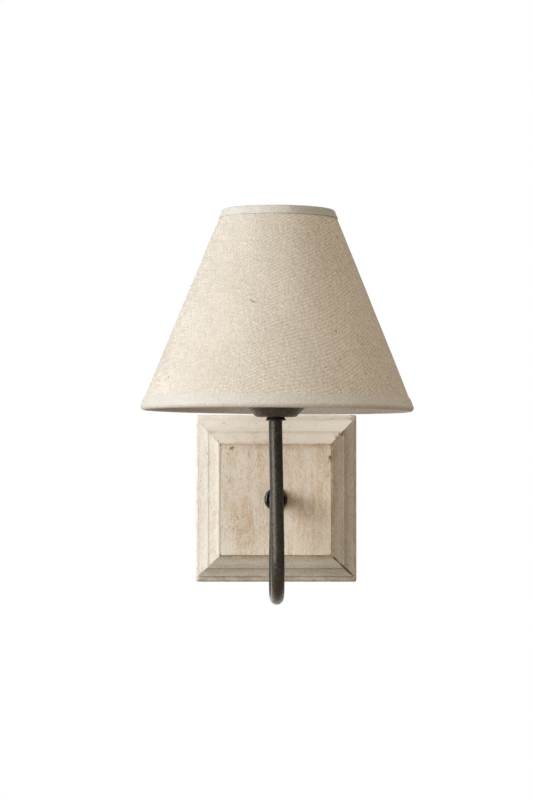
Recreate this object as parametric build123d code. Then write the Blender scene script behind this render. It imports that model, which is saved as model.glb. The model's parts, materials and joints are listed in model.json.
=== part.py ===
from build123d import *
import math
import os

# Wall lamp: a mitred wooden plate, a bent tube arm that drops and rises in front
# of it, a flared cup, an E14 lampholder and a linen cone shade.
# Millimetres. The wall is the plane y = 0 and the lamp stands out towards -Y.
# The origin is the middle of the wall bracket on the wall, +Z is up, +X is the
# right-hand side of a person who faces the lamp.

# ---------------------------------------------------------------- dimensions
# wooden plate
BOARD_W, BOARD_H, BOARD_T = 125.0, 130.0, 10.0
BOARD_EDGE_R = 2.4            # rounded front edge of the back board
OPEN_W, OPEN_H = 102.0, 76.0  # opening through the back board
FRAME_OUT, FRAME_IN = 60.75, 43.0   # half sizes of the square frame
PANEL_FRONT = 23.0            # distance of the panel's face from the wall
PANEL_CHAMFER, PANEL_CORNER = 1.1, 2.2
POCKET_HALF, POCKET_DEPTH_AT = 36.0, 15.5

# wall bracket
STRAP_T, STRAP_W, STRAP_HALF = 2.0, 20.0, 50.0
EAR_REACH, EAR_W = 9.0, 14.0
SLOT_SPACING, SLOT_LENGTH, SLOT_WIDTH = 60.0, 12.0, 4.5
STRAP_HOLE_R = 7.0
SIDE_SCREW_Y, SIDE_SCREW_R, SIDE_HEAD_R = -4.4, 1.47, 2.75   # M3, countersunk

# arm
TUBE_R, TUBE_BORE_R = 5.0, 4.0
ARM_REAR = 8.0                # rear end of the tube, from the wall
DROP_P = 66.0                 # distance of the falling leg from the wall
RISE_P = 130.0                # distance of the rising leg and the shade's axis
ARM_LOW = -73.0               # lowest point of the tube's centre line
BEND_R = 36.0                 # first bend, from the boss downwards
TUBE_TOP = 72.0
BOW_R = (RISE_P - DROP_P) / 2 - 0.05
FIT = 0.04                    # threads and soldered sleeves

# boss on the panel, collar and cup under the shade
BOSS_R, BOSS_H = 9.0, 4.2     # a ring with a rounded bead and a dished middle
COLLAR_R, COLLAR_BOTTOM, COLLAR_TOP = 7.65, 58.3, 61.3   # its rim is near the lower end
CUP_BASE_R, CUP_TOP_R, CUP_TOP, CUP_T = 13.4, 24.4, 72.0, 1.0

# lampholder (E14)
HOLDER_R = 14.0               # M28 outer thread
SEAT_R, SEAT_TOP = 17.5, 94.5
MOUTH = 118.0
SHELL_R = 7.1

# shade: outer face of the linen is a cone
SHADE_SLOPE = 0.4075          # radius lost per millimetre of height
SHADE_R0, SHADE_Z0 = 100.25, 67.83   # a point of that cone at the lower edge
SHADE_LEN = 156.6             # slant length
LINEN_T, LINER_T, GLUE = 0.6, 0.4, 0.05
LOW_WIRE_R, TOP_WIRE_R = 1.45, 1.2
LOW_BAND, TOP_BAND = 8.0, 6.6        # height of the tape outside
ARM_WIRE_R = 1.6
HUB_IN, HUB_OUT, HUB_T = HOLDER_R + 0.08, 20.5, 1.5

# wiring
WIRE_R = 0.9
WIRE_OFF = 1.3

os.makedirs("parts", exist_ok=True)
made = {}


def save(name, shape):
    solids = list(shape.solids()) if hasattr(shape, "solids") else [shape]
    out = solids[0] if len(solids) == 1 else Compound(children=[s for s in solids])
    out.label = name
    export_step(out, f"parts/{name}.step")
    made[name] = shape
    print(name, len(solids), round(sum(s.volume for s in solids), 2))


def turned(profile, y_axis=-RISE_P):
    """A profile in (radius, z) turned about the vertical axis of the riser."""
    return Pos(0, y_axis, 0) * revolve(Plane.XZ * profile, Axis.Z, 360)


def poly(*pts):
    return make_face(Polyline(*pts, close=True))


def rod(p, q, r):
    a, b = Vector(*p), Vector(*q)
    d = b - a
    return Plane(origin=a, z_dir=d.normalized()) * Cylinder(
        r, d.length, align=(Align.CENTER, Align.CENTER, Align.MIN)
    )


def along_y(r, y0, y1, x=0.0, z=0.0):
    return rod((x, y0, z), (x, y1, z), r)


# ---------------------------------------------------------------- wood
# Back board: its front edge is rounded and shows round the frame.
board = Pos(0, -BOARD_T / 2, 0) * Box(BOARD_W, BOARD_T, BOARD_H)
board = fillet(board.edges().filter_by(Axis.Y), 1.6)
front_loop = board.faces().sort_by(Axis.Y)[0].edges()
board = fillet(front_loop, BOARD_EDGE_R)
board -= Pos(0, -BOARD_T / 2, 0) * Box(OPEN_W, BOARD_T + 2, OPEN_H)
for sx in (-1, 1):
    board -= rod((sx * 40, SIDE_SCREW_Y, 0), (sx * 70, SIDE_SCREW_Y, 0), 1.7)
    sink = Plane(origin=(sx * 62.5, SIDE_SCREW_Y, 0), z_dir=(-sx, 0, 0)) * Cone(
        3.4, 1.7, 1.7, align=(Align.CENTER, Align.CENTER, Align.MIN)
    )
    board -= sink
save("back_board", board)

# Moulding: u runs outwards from the middle of the plate, w forwards from the board.
u0, u1 = FRAME_OUT, FRAME_IN
moulding = make_face(
    [
        Line((u0, 0), (u0, 0.6)),
        ThreePointArc((u0, 0.6), (60.5, 1.12), (59.9, 1.3)),
        ThreePointArc((59.9, 1.3), (56.1, 4.1), (53.3, 7.9)),
        ThreePointArc((53.3, 7.9), (53.2, 8.2), (52.9, 8.35)),
        Line((52.9, 8.35), (52.45, 8.35)),
        Line((52.45, 8.35), (52.2, 7.95)),
        Line((52.2, 7.95), (51.8, 8.0)),
        ThreePointArc((51.8, 8.0), (48.31, 9.85), (45.1, 12.3)),
        ThreePointArc((45.1, 12.3), (44.45, 13.15), (43.7, 13.1)),
        Line((43.7, 13.1), (u1, 11.7)),
        Line((u1, 11.7), (u1, 0)),
        Line((u1, 0), (u0, 0)),
    ]
)
strip_plane = Plane(origin=(-70, -BOARD_T, 0), x_dir=(0, 0, 1), z_dir=(1, 0, 0))
# local x is +Z of the lamp, local y is -Y
strip = extrude(strip_plane * moulding, 140)
if strip.bounding_box().max.Y > -BOARD_T + 0.01:
    strip = mirror(strip, about=Plane(origin=(0, -BOARD_T, 0), z_dir=(0, 1, 0)))
trapezoid = Plane(origin=(0, 0, 0), x_dir=(1, 0, 0), z_dir=(0, -1, 0)) * poly(
    (-u0, u0), (u0, u0), (u1, u1), (-u1, u1)
)
wedge = extrude(trapezoid, 40)
rail = strip & wedge
for name, angle in (
    ("frame_rail_top", 0),
    ("frame_stile_right", 90),
    ("frame_rail_bottom", 180),
    ("frame_stile_left", 270),
):
    save(name, Rot(0, angle, 0) * rail)

# Centre panel: flat face, eased edge that makes the groove against the frame,
# hollow back for the wiring.
panel = Pos(0, -(BOARD_T + PANEL_FRONT) / 2, 0) * Box(
    2 * FRAME_IN, PANEL_FRONT - BOARD_T, 2 * FRAME_IN
)
panel = fillet(panel.edges().filter_by(Axis.Y), PANEL_CORNER)
panel = chamfer(panel.faces().sort_by(Axis.Y)[0].edges(), PANEL_CHAMFER)
panel -= Pos(0, -(BOARD_T + POCKET_DEPTH_AT) / 2, 0) * Box(
    2 * POCKET_HALF, POCKET_DEPTH_AT - BOARD_T, 2 * POCKET_HALF
)
panel -= along_y(5.25, -5, -40)
panel -= along_y(1.22, -12, -20.6, 4.0, 24.0)
save("centre_panel", panel)

# ---------------------------------------------------------------- wall fixing
bracket = Pos(0, -STRAP_T / 2, 0) * Box(2 * STRAP_HALF, STRAP_T, STRAP_W)
for sx in (-1, 1):
    ear = Pos(sx * (STRAP_HALF - STRAP_T / 2), -EAR_REACH / 2, 0) * Box(
        STRAP_T, EAR_REACH, EAR_W
    )
    bracket += ear
bracket = fillet(
    [
        e
        for e in bracket.edges().filter_by(Axis.Z)
        if abs(abs(e.center().X) - STRAP_HALF) < 0.01 and abs(e.center().Y) < 0.01
    ],
    1.6,
)
for sx in (-1, 1):
    bracket -= rod((sx * 40, SIDE_SCREW_Y, 0), (sx * 60, SIDE_SCREW_Y, 0), 1.5)
    slot = Plane(
        origin=(sx * SLOT_SPACING / 2, 1, 0), x_dir=(1, 0, 0), z_dir=(0, -1, 0)
    ) * SlotOverall(SLOT_LENGTH, SLOT_WIDTH)
    bracket -= extrude(slot, 6)
bracket -= along_y(STRAP_HOLE_R, 1, -4)
save("wall_bracket", bracket)

screws = []
for sx in (-1, 1):
    head_x = 62.2
    s = revolve(
        Plane.XY
        * poly(
            (0, 0),
            (SIDE_HEAD_R, 0),
            (SIDE_HEAD_R, 0.25),
            (SIDE_SCREW_R, 1.53),
            (SIDE_SCREW_R, 15.8),
            (0.9, 16.6),
            (0, 16.6),
        ),
        Axis.Y,
        360,
    )
    s -= Pos(0, 0.4, 0) * Box(3.2, 1.0, 0.65)
    s -= Pos(0, 0.4, 0) * Box(0.65, 1.0, 3.2)
    s = Plane(
        origin=(sx * head_x, SIDE_SCREW_Y, 0), x_dir=(0, sx, 0), z_dir=(0, 0, 1)
    ) * s
    screws.append(s)
save("side_screws", Compound(children=[x for s in screws for x in s.solids()]))

# ---------------------------------------------------------------- arm
arm_pts = [
    (0, -ARM_REAR, 0),
    (0, -DROP_P, 0),
    (0, -DROP_P, ARM_LOW),
    (0, -RISE_P, ARM_LOW),
    (0, -RISE_P, TUBE_TOP),
]
arm_path = FilletPolyline(*arm_pts, radius=[BEND_R, BOW_R, BOW_R])
ring_face = Plane(origin=arm_pts[0], z_dir=(0, -1, 0)) * (
    Circle(TUBE_R) - Circle(TUBE_BORE_R)
)
tube = sweep(ring_face, path=arm_path)
print(
    "arm tube volume against section times length",
    round(tube.volume, 1),
    round(math.pi * (TUBE_R**2 - TUBE_BORE_R**2) * arm_path.length, 1),
)
save("arm_tube", tube)

boss_profile = make_face(
    [
        Line((TUBE_R + FIT, 0), (BOSS_R, 0)),
        Line((BOSS_R, 0), (BOSS_R, 1.3)),
        ThreePointArc((BOSS_R, 1.3), (8.55, 3.25), (7.35, BOSS_H)),
        ThreePointArc((7.35, BOSS_H), (6.75, BOSS_H - 0.25), (6.35, BOSS_H - 1.1)),
        ThreePointArc((6.35, BOSS_H - 1.1), (5.9, 2.6), (TUBE_R + FIT, 2.4)),
        Line((TUBE_R + FIT, 2.4), (TUBE_R + FIT, 0)),
    ]
)
boss = revolve(boss_profile, Axis.Y, 360)
boss = Pos(0, -PANEL_FRONT, 0) * Rot(180, 0, 0) * boss
save("boss", boss)

washer = along_y(9.0, -15.5, -14.5) - along_y(5.2, -16, -14)
save("arm_washer", washer)

# earth tag: thin ring with a tail that is rolled round the wire
tag = along_y(8.2, -14.5, -13.7) - along_y(5.2, -15, -13)
tail = Pos(10.2, -14.1, 0) * Box(7.2, 0.8, 4.0) - along_y(6.0, -15, -13)
barrel = rod((11.8, -12.4, 0), (15.8, -12.4, 0), 1.4) - rod(
    (11, -12.4, 0), (17, -12.4, 0), 0.94
)
web = Pos(12.8, -13.72, 0) * Box(2.0, 0.5, 1.6) - rod(
    (11, -12.4, 0), (17, -12.4, 0), 1.2
)
tag = tag + tail + barrel + web
save("earth_tag", tag)


def hex_nut(across_flats, height, bore_r):
    n = extrude(RegularPolygon(across_flats / math.sqrt(3), 6), height)
    cham = Cylinder(
        across_flats / 2 * 1.09,
        height,
        align=(Align.CENTER, Align.CENTER, Align.MIN),
    )
    cham = chamfer(cham.edges(), min(0.6, height / 5))
    return (n & cham) - Cylinder(
        bore_r, height + 2, align=(Align.CENTER, Align.CENTER, Align.CENTER)
    ) - Pos(0, 0, height) * Cylinder(bore_r, height)


nut = Plane(origin=(0, -13.7, 0), z_dir=(0, 1, 0)) * hex_nut(14, 4.5, TUBE_R + FIT)
save("arm_nut", nut)

collar_profile = make_face(
    [
        Line((TUBE_R + FIT, COLLAR_BOTTOM), (5.5, COLLAR_BOTTOM)),
        Line((5.5, COLLAR_BOTTOM), (7.2, 58.75)),
        ThreePointArc((7.2, 58.75), (COLLAR_R, 59.1), (7.5, 59.55)),
        ThreePointArc((7.5, 59.55), (6.75, 60.3), (6.5, COLLAR_TOP)),
        Line((6.5, COLLAR_TOP), (TUBE_R + FIT, COLLAR_TOP)),
        Line((TUBE_R + FIT, COLLAR_TOP), (TUBE_R + FIT, COLLAR_BOTTOM)),
    ]
)
save("arm_collar", turned(collar_profile))

# cup: thin spun metal, flat base with a rounded corner, flared side, rolled lip
zb = COLLAR_TOP
cup_profile = make_face(
    [
        Line((TUBE_R + 0.1, zb), (CUP_BASE_R, zb)),
        ThreePointArc((CUP_BASE_R, zb), (15.0, 61.72), (16.2, 62.8)),
        Line((16.2, 62.8), (CUP_TOP_R - 0.9, 70.7)),
        ThreePointArc((CUP_TOP_R - 0.9, 70.7), (CUP_TOP_R, 71.1), (CUP_TOP_R - 0.15, CUP_TOP)),
        ThreePointArc((CUP_TOP_R - 0.15, CUP_TOP), (23.5, 72.25), (22.9, 71.6)),
        Line((22.9, 71.6), (15.35, 63.5)),
        ThreePointArc((15.35, 63.5), (14.5, 62.62), (13.3, zb + CUP_T)),
        Line((13.3, zb + CUP_T), (TUBE_R + 0.1, zb + CUP_T)),
        Line((TUBE_R + 0.1, zb + CUP_T), (TUBE_R + 0.1, zb)),
    ]
)
save("cup", turned(cup_profile))
save(
    "cup_nut",
    Pos(0, -RISE_P, zb + CUP_T) * hex_nut(14, 3.0, TUBE_R + FIT),
)

# ---------------------------------------------------------------- lampholder
cap_profile = poly(
    (TUBE_R + FIT, 65.4),
    (9.2, 65.4),
    (9.8, 66.0),
    (9.8, 70.6),
    (HOLDER_R, 75.0),
    (HOLDER_R, 84.0),
    (12.2, 84.0),
    (12.2, 79.0),
    (11.2, 79.0),
    (11.2, 76.2),
    (8.4, 73.2),
    (TUBE_R + FIT, 73.2),
)
cap = turned(cap_profile)
grub_hole = rod((0, -RISE_P + 4.5, 68.3), (0, -RISE_P + 12, 68.3), 1.52)
cap -= grub_hole
save("lampholder_cap", cap)
grub = rod((0, -RISE_P + 5.12, 68.3), (0, -RISE_P + 9.7, 68.3), 1.48)
grub -= Pos(0, -RISE_P + 9.7, 68.3) * Box(3.4, 1.6, 0.5)
save("grub_screw", grub)

core_profile = poly(
    (1.3, 79.0),
    (12.0, 79.0),
    (12.0, 90.0),
    (9.6, 90.0),
    (9.6, 109.0),
    (7.7, 109.0),
    (7.7, 91.0),
    (1.3, 91.0),
)
core = turned(core_profile)
for sx in (-1, 1):
    core -= Pos(sx * 7.0, -RISE_P, 78) * Cylinder(
        1.3, 9, align=(Align.CENTER, Align.CENTER, Align.MIN)
    )
save("lampholder_core", core)

skirt_profile = make_face(
    Polyline(
        (12.2, 84.0),
        (HOLDER_R, 84.0),
        (HOLDER_R, 90.6),
        (SEAT_R, 91.6),
        (SEAT_R, SEAT_TOP),
        (HOLDER_R, SEAT_TOP),
        (HOLDER_R, MOUTH - 1.0),
        (HOLDER_R - 1.0, MOUTH),
        (10.6, MOUTH),
        (10.0, MOUTH - 0.6),
        (10.0, 90.0),
        (12.2, 90.0),
        close=True,
    )
)
save("lampholder_skirt", turned(skirt_profile))

shell_profile = poly(
    (SHELL_R, 92.5), (SHELL_R + 0.5, 92.5), (SHELL_R + 0.5, 108.4), (SHELL_R, 108.4)
)
save("screw_shell", turned(shell_profile))
contact_profile = poly(
    (0, 77.9), (1.26, 77.9), (1.26, 91.0), (3.2, 91.0), (3.2, 91.7), (2.8, 92.0), (0, 92.0)
)
save("centre_contact", turned(contact_profile))
hs = []
for sx in (-1, 1):
    s = revolve(
        Plane.XZ
        * poly((0, 77.3), (1.9, 77.3), (2.2, 77.7), (2.2, 79.0), (1.26, 79.0), (1.26, 86.0), (0, 86.0)),
        Axis.Z,
        360,
    )
    hs.append(Pos(sx * 7.0, -RISE_P, 0) * s)
save("holder_screws", Compound(children=[x for s in hs for x in s.solids()]))

# ---------------------------------------------------------------- shade ring
RIBS = 24
ring_face = Circle(18.4) - Circle(HOLDER_R + 0.05)
ring_face -= PolarLocations(18.75, RIBS) * Circle(0.85)
ring = Pos(0, -RISE_P, 96.4) * extrude(ring_face, 6.0)
save("shade_ring", ring)

# ---------------------------------------------------------------- shade
ca = 1 / math.sqrt(1 + SHADE_SLOPE**2)   # cosine and sine of the cone's half angle
sa = SHADE_SLOPE * ca


def P(s, n):
    """A point of the shade's section: s up the slant, n outwards from the linen's face."""
    return (SHADE_R0 - sa * s + ca * n, SHADE_Z0 + ca * s + sa * n)


L = SHADE_LEN
linen = poly(P(1.2, 0), P(L - 1.2, 0), P(L - 1.2, -LINEN_T), P(1.2, -LINEN_T))
save("shade_fabric", turned(linen))
n1 = -LINEN_T - GLUE
liner = poly(P(1.2, n1), P(L - 1.2, n1), P(L - 1.2, n1 - LINER_T), P(1.2, n1 - LINER_T))
save("shade_liner", turned(liner))

# lower rim: wire ring, tape folded round it
low_n = -2.7
low_c = P(1.5, low_n)
low_ring = turned(Pos(low_c[0], low_c[1]) * Circle(LOW_WIRE_R))
save("shade_bottom_ring", low_ring)


def fold(s_mid, n_mid, r_in, thick, leg_out, leg_in, way):
    """Section of a tape folded round a rim. way is 1 at the lower rim and -1 at the upper."""
    r_out = r_in + thick
    return make_face(
        [
            Line(P(s_mid, n_mid + r_in), P(leg_out, n_mid + r_in)),
            Line(P(leg_out, n_mid + r_in), P(leg_out, n_mid + r_out)),
            Line(P(leg_out, n_mid + r_out), P(s_mid, n_mid + r_out)),
            ThreePointArc(
                P(s_mid, n_mid + r_out), P(s_mid - way * r_out, n_mid), P(s_mid, n_mid - r_out)
            ),
            Line(P(s_mid, n_mid - r_out), P(leg_in, n_mid - r_out)),
            Line(P(leg_in, n_mid - r_out), P(leg_in, n_mid - r_in)),
            Line(P(leg_in, n_mid - r_in), P(s_mid, n_mid - r_in)),
            ThreePointArc(
                P(s_mid, n_mid - r_in), P(s_mid - way * r_in, n_mid), P(s_mid, n_mid + r_in)
            ),
        ]
    )


hub = turned(
    poly(
        (HUB_IN, SEAT_TOP + 0.05),
        (HUB_OUT, SEAT_TOP + 0.05),
        (HUB_OUT, SEAT_TOP + 0.05 + HUB_T),
        (HUB_IN, SEAT_TOP + 0.05 + HUB_T),
    )
)
hub_z = SEAT_TOP + 0.05 + HUB_T / 2
FITTER_ANGLES = (90, 210, 330)
fitter, slits = hub, None
for a in FITTER_ANGLES:
    c, s = math.cos(math.radians(a)), math.sin(math.radians(a))
    inner = (19.6 * c, -RISE_P + 19.6 * s, hub_z)
    outer = (low_c[0] * c, -RISE_P + low_c[0] * s, low_c[1])
    fitter += rod(inner, outer, ARM_WIRE_R)
    slit = rod(inner, outer, ARM_WIRE_R + 0.35)
    slits = slit if slits is None else slits + slit
# a wire arm stops where it is welded to the rim's ring
low_ring_room = turned(Pos(low_c[0], low_c[1]) * Circle(LOW_WIRE_R + 0.02))
inner_room = turned(poly((0, 40), (low_c[0], 40), (low_c[0], 120), (0, 120)))
fitter = (fitter & inner_room) - low_ring_room
fitter = max(fitter.solids(), key=lambda s: s.volume)
save("shade_fitter", fitter)

low_trim = turned(fold(1.5, -2.1, 2.18, 0.5, LOW_BAND, 6.5, 1)) - slits
low_trim = max(low_trim.solids(), key=lambda s: s.volume)
save("bottom_trim", low_trim)

top_c = P(L - 1.45, -2.35)
save("shade_top_ring", turned(Pos(top_c[0], top_c[1]) * Circle(TOP_WIRE_R)))
top_trim = turned(fold(L - 1.45, -1.775, 1.855, 0.45, L - TOP_BAND, L - 5.6, -1))
save("top_trim", top_trim)

# ---------------------------------------------------------------- bulb
def cap_arc(edge, pole_z):
    """An arc from a point of the profile to the axis, part of a sphere on the axis."""
    h = abs(edge[1] - pole_z)
    way = 1 if pole_z > edge[1] else -1
    rad = (edge[0] ** 2 + h * h) / (2 * h)
    zc = pole_z - way * rad
    half = math.atan2(edge[0], way * (edge[1] - zc)) / 2
    mid = (rad * math.sin(half), zc + way * rad * math.cos(half))
    return ThreePointArc(edge, mid, (0, pole_z))


tip = make_face(
    [
        Line((0, 92.05), (0, 95.2)),
        Line((0, 95.2), (2.4, 95.2)),
        Line((2.4, 95.2), (2.4, 93.1)),
        cap_arc((2.4, 93.1), 92.05),
    ]
)
save("bulb_contact", turned(tip))
insulator = poly((2.45, 93.4), (3.3, 93.4), (5.6, 95.2), (5.6, 97.2), (2.45, 97.2))
save("bulb_insulator", turned(insulator))
ridge = [(5.65, 95.6), (6.25, 95.6)]
z = 96.2
for i in range(5):
    ridge += [(6.5, z), (6.88, z + 0.8), (6.88, z + 1.5), (6.5, z + 2.3)]
    z += 2.82
ridge += [(6.5, 111.4), (7.2, 112.3), (8.3, 112.9), (8.3, 116.0), (7.75, 116.0), (7.75, 113.3), (6.6, 112.9), (5.65, 111.8)]
save("bulb_cap", turned(poly(*ridge)))

outer_line = [(7.65, 116.5), (9.2, 120.0), (13.6, 130.0), (16.9, 140.5), (17.5, 148.0), (16.3, 158.5), (12.6, 170.0), (7.6, 180.0), (3.4, 187.0)]
GLASS_T = 0.8
inner_line = [(r - GLASS_T, z) for r, z in outer_line[:-1]] + [(2.55, 186.6)]
glass_profile = make_face(
    [
        Line((6.85, 113.4), (7.65, 113.4)),
        Line((7.65, 113.4), outer_line[0]),
        Spline(*outer_line, tangents=[(0.12, 1), (-0.6, 1)]),
        cap_arc(outer_line[-1], 190.0),
        Line((0, 190.0), (0, 189.0)),
        cap_arc(inner_line[-1], 189.0),
        Spline(*inner_line[::-1], tangents=[(0.6, -1), (-0.12, -1)]),
        Line(inner_line[0], (6.85, 113.4)),
    ]
)
save("bulb_glass", turned(glass_profile))

# filaments on a stem, inside the glass
stem = turned(poly((0, 113.6), (5.8, 113.6), (5.8, 114.4), (3.0, 118.0), (1.6, 130.0), (0.9, 134.0), (0.45, 135.0), (0.45, 163.2), (0, 163.2)))
for a in (45, 135, 225, 315):
    c, s = math.cos(math.radians(a)), math.sin(math.radians(a))
    low, high = (5.2 * c, -RISE_P + 5.2 * s, 133.0), (4.2 * c, -RISE_P + 4.2 * s, 162.0)
    stem += rod(low, high, 0.8)
    stem += rod((0, -RISE_P, 162.4), (4.2 * c, -RISE_P + 4.2 * s, 162.0), 0.3)
    stem += rod((0, -RISE_P, 131.0), (5.2 * c, -RISE_P + 5.2 * s, 133.0), 0.3)
save("bulb_filament", stem)

# ---------------------------------------------------------------- terminal block
BLOCK_Z0, BLOCK_Z1 = 16.0, 32.0
BLOCK_Y0, BLOCK_Y1 = -POCKET_DEPTH_AT, -3.8
POLES = (-8.0, 0.0, 8.0)
POLE_Y = -9.6
block = Pos(0, (BLOCK_Y0 + BLOCK_Y1) / 2, (BLOCK_Z0 + BLOCK_Z1) / 2) * Box(
    26, BLOCK_Y1 - BLOCK_Y0, BLOCK_Z1 - BLOCK_Z0
)
block = fillet(block.edges().filter_by(Axis.Z), 1.2)
for x in (-4.0, 4.0):
    block -= Pos(x, BLOCK_Y1, (BLOCK_Z0 + BLOCK_Z1) / 2) * Box(1.4, 5.0, 30)
inserts, clamp_screws = [], []
for x in POLES:
    block -= rod((x, POLE_Y, BLOCK_Z0 - 1), (x, POLE_Y, BLOCK_Z1 + 1), 2.1)
    ins = rod((x, POLE_Y, BLOCK_Z0 + 1.2), (x, POLE_Y, BLOCK_Z1 - 1.2), 2.06) - rod(
        (x, POLE_Y, BLOCK_Z0), (x, POLE_Y, BLOCK_Z1), 1.25
    )
    inserts.append(ins)
    for z in (20.4, 27.6):
        block -= along_y(1.45, -2, POLE_Y, x, z)
        sc = along_y(1.35, -4.6, -7.45, x, z)
        sc -= Pos(x, -4.6, z) * Box(3, 1.2, 0.5)
        clamp_screws.append(sc)
block -= along_y(1.65, -2, -17, 4.0, 24.0)
block -= along_y(2.9, -2, -9.0, 4.0, 24.0) & (
    Pos(4.0, -6, 24.0) * Box(3.0, 10, 6)
)
save("terminal_block", block)
save("terminal_inserts", Compound(children=[x for s in inserts for x in s.solids()]))
save("terminal_screws", Compound(children=[x for s in clamp_screws for x in s.solids()]))
fix = along_y(1.18, -9.1, -20.0, 4.0, 24.0) + along_y(1.45, -7.4, -9.0, 4.0, 24.0)
fix += along_y(1.18, -8.9, -9.2, 4.0, 24.0)
fix -= Pos(4.0, -7.4, 24.0) * Box(3.4, 1.2, 0.5)
save("block_screw", fix)


# ---------------------------------------------------------------- wiring
def wire(name, pts, radii):
    path = FilletPolyline(*pts, radius=radii)
    start = Vector(*pts[1]) - Vector(*pts[0])
    face = Plane(origin=pts[0], z_dir=start.normalized()) * Circle(WIRE_R)
    w = sweep(face, path=path)
    print(name, "length", round(path.length, 1), "volume check", round(w.volume / (math.pi * WIRE_R**2 * path.length), 4))
    save(name, w)


for name, side, pole in (("live_wire", -1, -8.0), ("neutral_wire", 1, 0.0)):
    x = side * WIRE_OFF
    end_x = side * 7.0
    wire(
        name,
        [
            (pole, POLE_Y, BLOCK_Z0 + 5.0),
            (pole, POLE_Y, 12.4),
            (pole * 0.55 + x * 0.45, -5.0, 7.2),
            (x, -5.0, 0),
            (x, -DROP_P, 0),
            (x, -DROP_P, ARM_LOW),
            (x, -RISE_P, ARM_LOW),
            (x, -RISE_P, 73.6),
            (end_x, -RISE_P, 75.2),
            (end_x, -RISE_P, 77.2),
        ],
        [2.2, 2.4, 2.6, BEND_R, BOW_R, BOW_R, 1.6, 1.0],
    )
wire(
    "earth_wire",
    [
        (12.2, -12.4, 0),
        (20.5, -12.4, 0),
        (20.5, POLE_Y, 9.5),
        (8.0, POLE_Y, 11.5),
        (8.0, POLE_Y, BLOCK_Z0 + 5.0),
    ],
    [3.0, 4.0, 2.6],
)

print("nodes", len(made))
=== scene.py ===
import json
import math

import bmesh
import bpy
from mathutils import Matrix, Vector, noise


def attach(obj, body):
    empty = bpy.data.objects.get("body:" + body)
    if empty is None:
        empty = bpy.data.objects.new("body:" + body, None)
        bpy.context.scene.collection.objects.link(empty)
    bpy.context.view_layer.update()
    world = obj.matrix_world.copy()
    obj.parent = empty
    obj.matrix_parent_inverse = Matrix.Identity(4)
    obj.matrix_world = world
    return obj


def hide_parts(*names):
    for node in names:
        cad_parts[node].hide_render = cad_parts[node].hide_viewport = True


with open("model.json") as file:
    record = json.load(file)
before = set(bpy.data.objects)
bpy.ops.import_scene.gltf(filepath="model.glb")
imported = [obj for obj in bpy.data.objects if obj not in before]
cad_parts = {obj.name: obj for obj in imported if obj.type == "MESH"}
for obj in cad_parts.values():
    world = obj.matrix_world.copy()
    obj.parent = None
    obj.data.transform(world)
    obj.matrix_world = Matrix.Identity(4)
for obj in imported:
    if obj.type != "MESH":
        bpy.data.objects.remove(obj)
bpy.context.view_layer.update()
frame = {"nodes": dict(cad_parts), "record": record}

MM = 0.001
# Main sizes, in millimetres, the same as those of the construction.
AXIS_Y = -130.0            # the shade's axis stands this far from the wall
SLOPE = 0.4075
R0, Z0, SLANT = 100.25, 67.83, 157.3
CA = 1 / math.sqrt(1 + SLOPE**2)
SA = SLOPE * CA
FRAME_OUT, FRAME_IN = 60.75, 43.0
PANEL_Y, BOARD_Y = -23.0, -10.0
LEAN = math.radians(0.42)  # the shade hangs a little askew on its fitter
SHIFT = 0.8                # and a little to the right
PLATE_Z = 0.8              # the arm leaves the plate a little below its middle
SAG = 0.085                # the panel and the mouldings' inner edges sit low in the plate
BOARD_X = 0.3              # the frame sits a little left on its board
HUB_Z = 95.3


# ------------------------------------------------------------------ small tools
def clamp(x, a=0.0, b=1.0):
    return a if x < a else b if x > b else x


def smooth(e0, e1, x):
    t = clamp((x - e0) / (e1 - e0))
    return t * t * (3 - 2 * t)


def n3(x, y=0.0, z=0.0):
    """Smooth noise, about -1 to 1."""
    return noise.noise(Vector((x, y, z)))


def arc(p0, p1, p2, n):
    """n points after p0 on the arc through p0, p1 and p2."""
    (ax, ay), (bx, by), (cx, cy) = p0, p1, p2
    d = 2 * (ax * (by - cy) + bx * (cy - ay) + cx * (ay - by))
    a2, b2, c2 = ax * ax + ay * ay, bx * bx + by * by, cx * cx + cy * cy
    ux = (a2 * (by - cy) + b2 * (cy - ay) + c2 * (ay - by)) / d
    uy = (a2 * (cx - bx) + b2 * (ax - cx) + c2 * (bx - ax)) / d
    r = math.hypot(ax - ux, ay - uy)
    t0, t1, t2 = (math.atan2(q[1] - uy, q[0] - ux) for q in (p0, p1, p2))

    def near(a, ref):
        while a - ref > math.pi:
            a -= 2 * math.pi
        while a - ref < -math.pi:
            a += 2 * math.pi
        return a

    t1 = near(t1, t0)
    t2 = near(t2, t1)
    return [
        (ux + r * math.cos(t0 + (t2 - t0) * i / n), uy + r * math.sin(t0 + (t2 - t0) * i / n))
        for i in range(1, n + 1)
    ]


def line(p0, p1, n):
    return [(p0[0] + (p1[0] - p0[0]) * i / n, p0[1] + (p1[1] - p0[1]) * i / n) for i in range(1, n + 1)]


def trace(start, *steps):
    """A section as points. A step is (end, n) for a line or (middle, end, n) for an arc."""
    pts = [start]
    for st in steps:
        if len(st) == 2:
            pts += line(pts[-1], st[0], st[1])
        else:
            pts += arc(pts[-1], st[0], st[1], st[2])
    return pts


def grid(nr, nc, wrap_r=False, wrap_c=True, start=0):
    faces = []
    for i in range(nr if wrap_r else nr - 1):
        i2 = (i + 1) % nr
        for j in range(nc if wrap_c else nc - 1):
            j2 = (j + 1) % nc
            faces.append((start + i * nc + j, start + i * nc + j2, start + i2 * nc + j2, start + i2 * nc + j))
    return faces


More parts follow.
